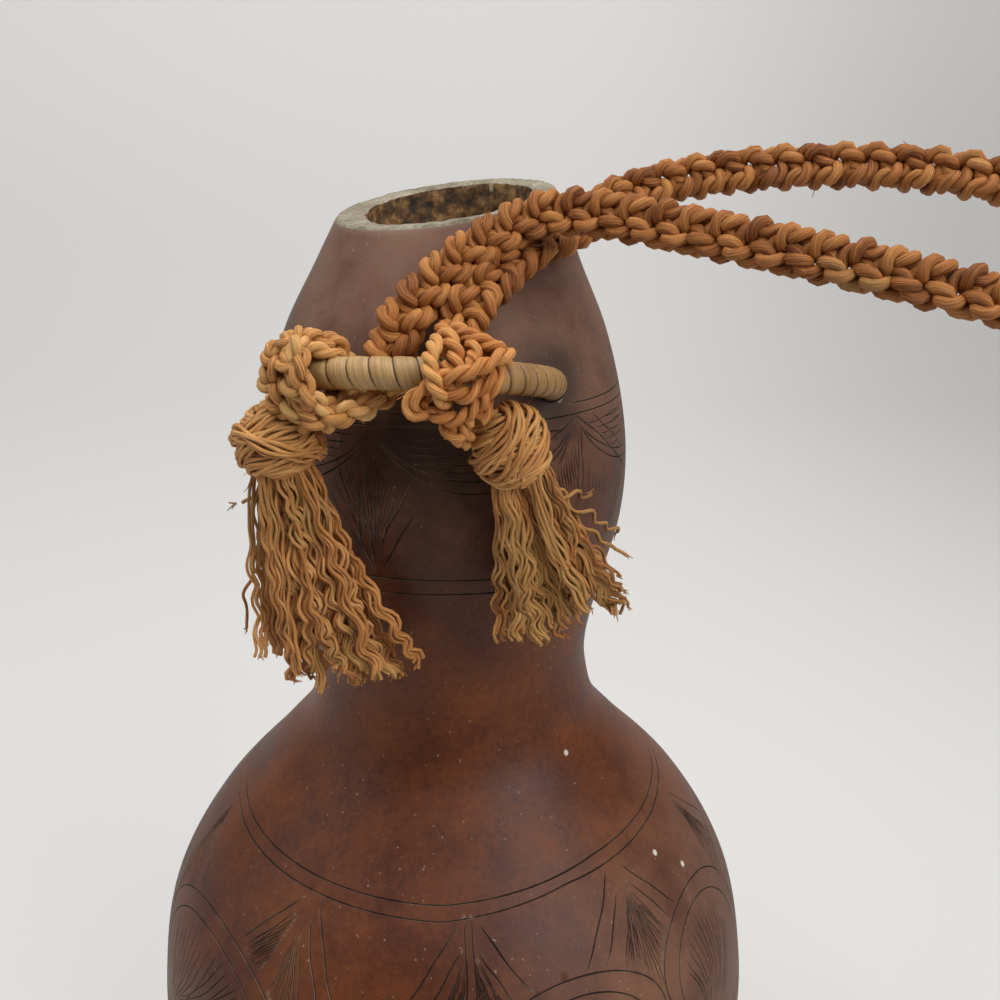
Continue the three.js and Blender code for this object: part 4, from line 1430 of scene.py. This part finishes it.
TASSEL_LEFT = {
    "knob": KNOB_LEFT, "seed": 11, "root": 0.0078, "swing": (-9, 27), "reach": (0.066, 0.084), "lean": 0.02,
    "strays": [(-0.0590, -0.0640, 0.316), (-0.0590, -0.0600, 0.272), (-0.0560, -0.0560, 0.268)],
}
TASSEL_RIGHT = {
    "knob": KNOB_RIGHT, "seed": 23, "root": 0.0072, "swing": (-5, 39), "reach": (0.057, 0.054), "lean": 0.05,
    "strays": [(0.0570, -0.0560, 0.296), (0.0550, -0.0550, 0.3035), (0.0440, -0.0600, 0.3165)],
}
LOCKS = 34
TASSEL_FIBRE = 0.00055

# this fibre is brighter than the strap's: partly its own colour, partly painted light for the light falling
# on the tassels' front
tassel_finish = fibre_finish(
    "tassel_fibre",
    dark=(0.14, 0.040, 0.010),
    middle=(0.56, 0.225, 0.062),
    light=(0.84, 0.46, 0.165),
    odd=(0.52, 0.35, 0.13),
    odd_share=0.32,
    streaks=2.0,
)


def waved(start, tip, draw, phase):
    """A hanging lock from its root to its tip: it falls a little before it spreads, sways and is waved."""
    fall = np.array([0.0, 0.0, -1.0])
    reach = np.linalg.norm(tip - start)
    beside = unit(np.cross(tip - start, (0, 1, 0))[None])[0]
    swell = draw.uniform(0.0003, 0.0014)
    waves = reach / draw.uniform(0.0078, 0.0150)
    sway = draw.gauss(0, 0.0018)
    sway_phase = draw.uniform(0, 6.28)
    points = []
    for share in np.linspace(0, 1, 48):
        grown = swell * min(1.0, 0.3 + 2.0 * share)
        turn = phase + 2 * math.pi * waves * (share + 0.03 * math.sin(9 * share + sway_phase))
        aside = grown * math.sin(turn) + sway * share * math.sin(5 * share + sway_phase)
        point = start + (tip - start) * share + fall * 0.004 * math.sin(math.pi * share) + beside * aside
        point[1] += 0.7 * grown * math.cos(0.9 * turn + sway_phase) + sway * share * math.cos(6 * share)
        points.append(point)
    return clear_of_gourd(np.array(points), 0.0024)


def frayed(end, heading, draw):
    """A few single fibres that splay from the end of a lock."""
    hairs = []
    for _ in range(4):
        aim = unit((heading + np.array([draw.gauss(0, 0.26) for _ in range(3)]))[None])[0]
        bend = np.array([draw.gauss(0, 0.0005) for _ in range(3)])
        reach = draw.uniform(0.0008, 0.0026)
        hair = [end - heading * 0.001 + aim * reach * s + bend * s * s for s in np.linspace(0, 1, 5)]
        hairs.append((np.array(hair), np.linspace(0.0003, 0.00012, 5), draw.uniform(0.2, 0.8)))
    return hairs


def tassel(name, form):
    draw = random.Random(form["seed"])
    along, side, _ = axis_frame(form["knob"]["axis"])
    root = np.array(form["knob"]["centre"]) + along * (form["knob"]["half"] - 0.0035)
    cords = []
    lines = []
    sideways = side * math.copysign(1, side[0])
    first, last = form["swing"]
    for order in range(LOCKS):
        share = (order + 0.5) / LOCKS
        layer = draw.uniform(-1, 1)
        swing = math.radians(first + (last - first) * share + draw.gauss(0, 2.0))
        reach = float(np.interp(share, (0, 1), form["reach"])) * draw.uniform(0.82, 1.0)
        start = root + form["root"] * ((2 * share - 1) * 0.9 * sideways + layer * np.array([0, 0.62, 0]))
        aim = np.array([math.sin(swing), form["lean"] + 0.10 * layer, -math.cos(swing)])
        lines.append((start, root + aim * reach, 5.0 * share + draw.gauss(0, 0.9), 3 + draw.randrange(3)))
    for place in form["strays"]:
        aside = form["root"] * 0.5 * np.sign(place[0] - root[0]) * np.array([1, 0, 0])
        lines.append((root + aside, np.array(place), draw.uniform(0, 6), 1))
    for start, tip, phase, fibres in lines:
        line = equal_steps(waved(start, tip, draw, phase), 0.0015)
        turning = length_along(line) / draw.uniform(0.018, 0.045) + draw.uniform(0, 6.28)
        facing = np.stack([np.cos(turning) * 0.8, -1.0 + 0 * turning, np.sin(turning) * 0.3], axis=1)
        lock = flat_lock(line, facing, fibres, TASSEL_FIBRE, draw, 0.7, 0.8, draw.uniform(0.05, 0.95))
        heading = unit((line[-1] - line[-3])[None])[0]
        for path, radii, tone in lock:
            end = len(path) - draw.randrange(3)
            cords.append((path[:end], radii[:end], tone))
        cords += frayed(line[-1], heading, draw)
    cords += loose_fibres(cords, 50, 0.007, draw)
    piece = cord_mesh("fibre_" + name, kept_clear(cords), roundness=1)
    piece.data.materials.append(tassel_finish)
    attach(piece, "root")
    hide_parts(name)
    return piece


tassel_left = tassel("tassel_left", TASSEL_LEFT)
tassel_right = tassel("tassel_right", TASSEL_RIGHT)


# Stage
# A pale sweep of paper serves as floor and background. It glows a little, as paper lit from a
# window does, and soft light comes from the window at the right, from above and from the room.

SWEEP_FLOOR = [(-1.6, 0), (1.1, 0), (1.45, 0.06), (1.65, 0.3), (1.7, 1.9)]

sweep_shape = bmesh.new()
sweep_line = smooth_line([(0, y, z) for y, z in SWEEP_FLOOR], 0.08)
sweep_verts = [sweep_shape.verts.new((-2.6, p[1], p[2])) for p in sweep_line]
sweep_edges = [sweep_shape.edges.new(pair) for pair in zip(sweep_verts, sweep_verts[1:])]
drawn = bmesh.ops.extrude_edge_only(sweep_shape, edges=sweep_edges)
drawn_verts = [item for item in drawn["geom"] if isinstance(item, bmesh.types.BMVert)]
bmesh.ops.translate(sweep_shape, verts=drawn_verts, vec=(5.2, 0, 0))
for face in sweep_shape.faces:
    face.smooth = True
bmesh.ops.recalc_face_normals(sweep_shape, faces=sweep_shape.faces)
sweep = new_piece("sweep", sweep_shape)


def sweep_finish():
    """Matt paper: its glow fades to the right and towards the viewer, and grows with height."""
    material, tree, shader = new_material("sweep_paper")
    place = add_node(tree, "ShaderNodeTexCoord").outputs["Object"]
    across, depth, height = add_node(tree, "ShaderNodeSeparateXYZ", {0: place}).outputs
    near = step_mask(tree, depth, -0.40, -0.75)
    right = step_mask(tree, across, 0.1, 1.0)
    high = step_mask(tree, height, 0.2, 0.8)
    glow = maths(tree, "ADD", 0.43, weighed(tree, (right, -0.15), (high, 0.06)))
    glow = times(tree, glow, maths(tree, "SUBTRACT", 1.0, near))
    # behind the camera the paper is painted dark grey and does not glow: painted shade, so the gourd's front
    # reflects a dim room
    paper = mixed(tree, near, (0.31, 0.305, 0.295), (0.12, 0.12, 0.12))
    tree.links.new(paper, shader.inputs["Base Color"])
    tree.links.new(glow, shader.inputs["Emission Strength"])
    shader.inputs["Emission Color"].default_value = (1, 0.982, 0.945, 1)
    shader.inputs["Roughness"].default_value = 0.9
    return material


sweep.data.materials.append(sweep_finish())


def soft_light(name, place, aim, size, power, colour=(1, 1, 1)):
    data = bpy.data.lights.new(name, "AREA")
    data.shape = "RECTANGLE"
    data.size, data.size_y = size
    data.energy = power
    data.color = colour
    light = bpy.data.objects.new(name, data)
    light.location = place
    light.rotation_euler = (Vector(aim) - Vector(place)).to_track_quat("-Z", "Y").to_euler()
    bpy.context.scene.collection.objects.link(light)


soft_light("window", (0.95, -0.75, 1.0), (0, 0, 0.22), (1.0, 0.9), 13)
soft_light("sky", (-0.1, -0.1, 1.6), (0, 0, 0.2), (1.8, 1.5), 23)
soft_light("room", (-1.1, -0.3, 0.7), (0, 0, 0.25), (1.0, 0.9), 3)

world = bpy.data.worlds.new("room_light")
world.use_nodes = True
world.node_tree.nodes["Background"].inputs[0].default_value = (0.95, 0.97, 1.0, 1)
world.node_tree.nodes["Background"].inputs[1].default_value = 0.10
bpy.context.scene.world = world
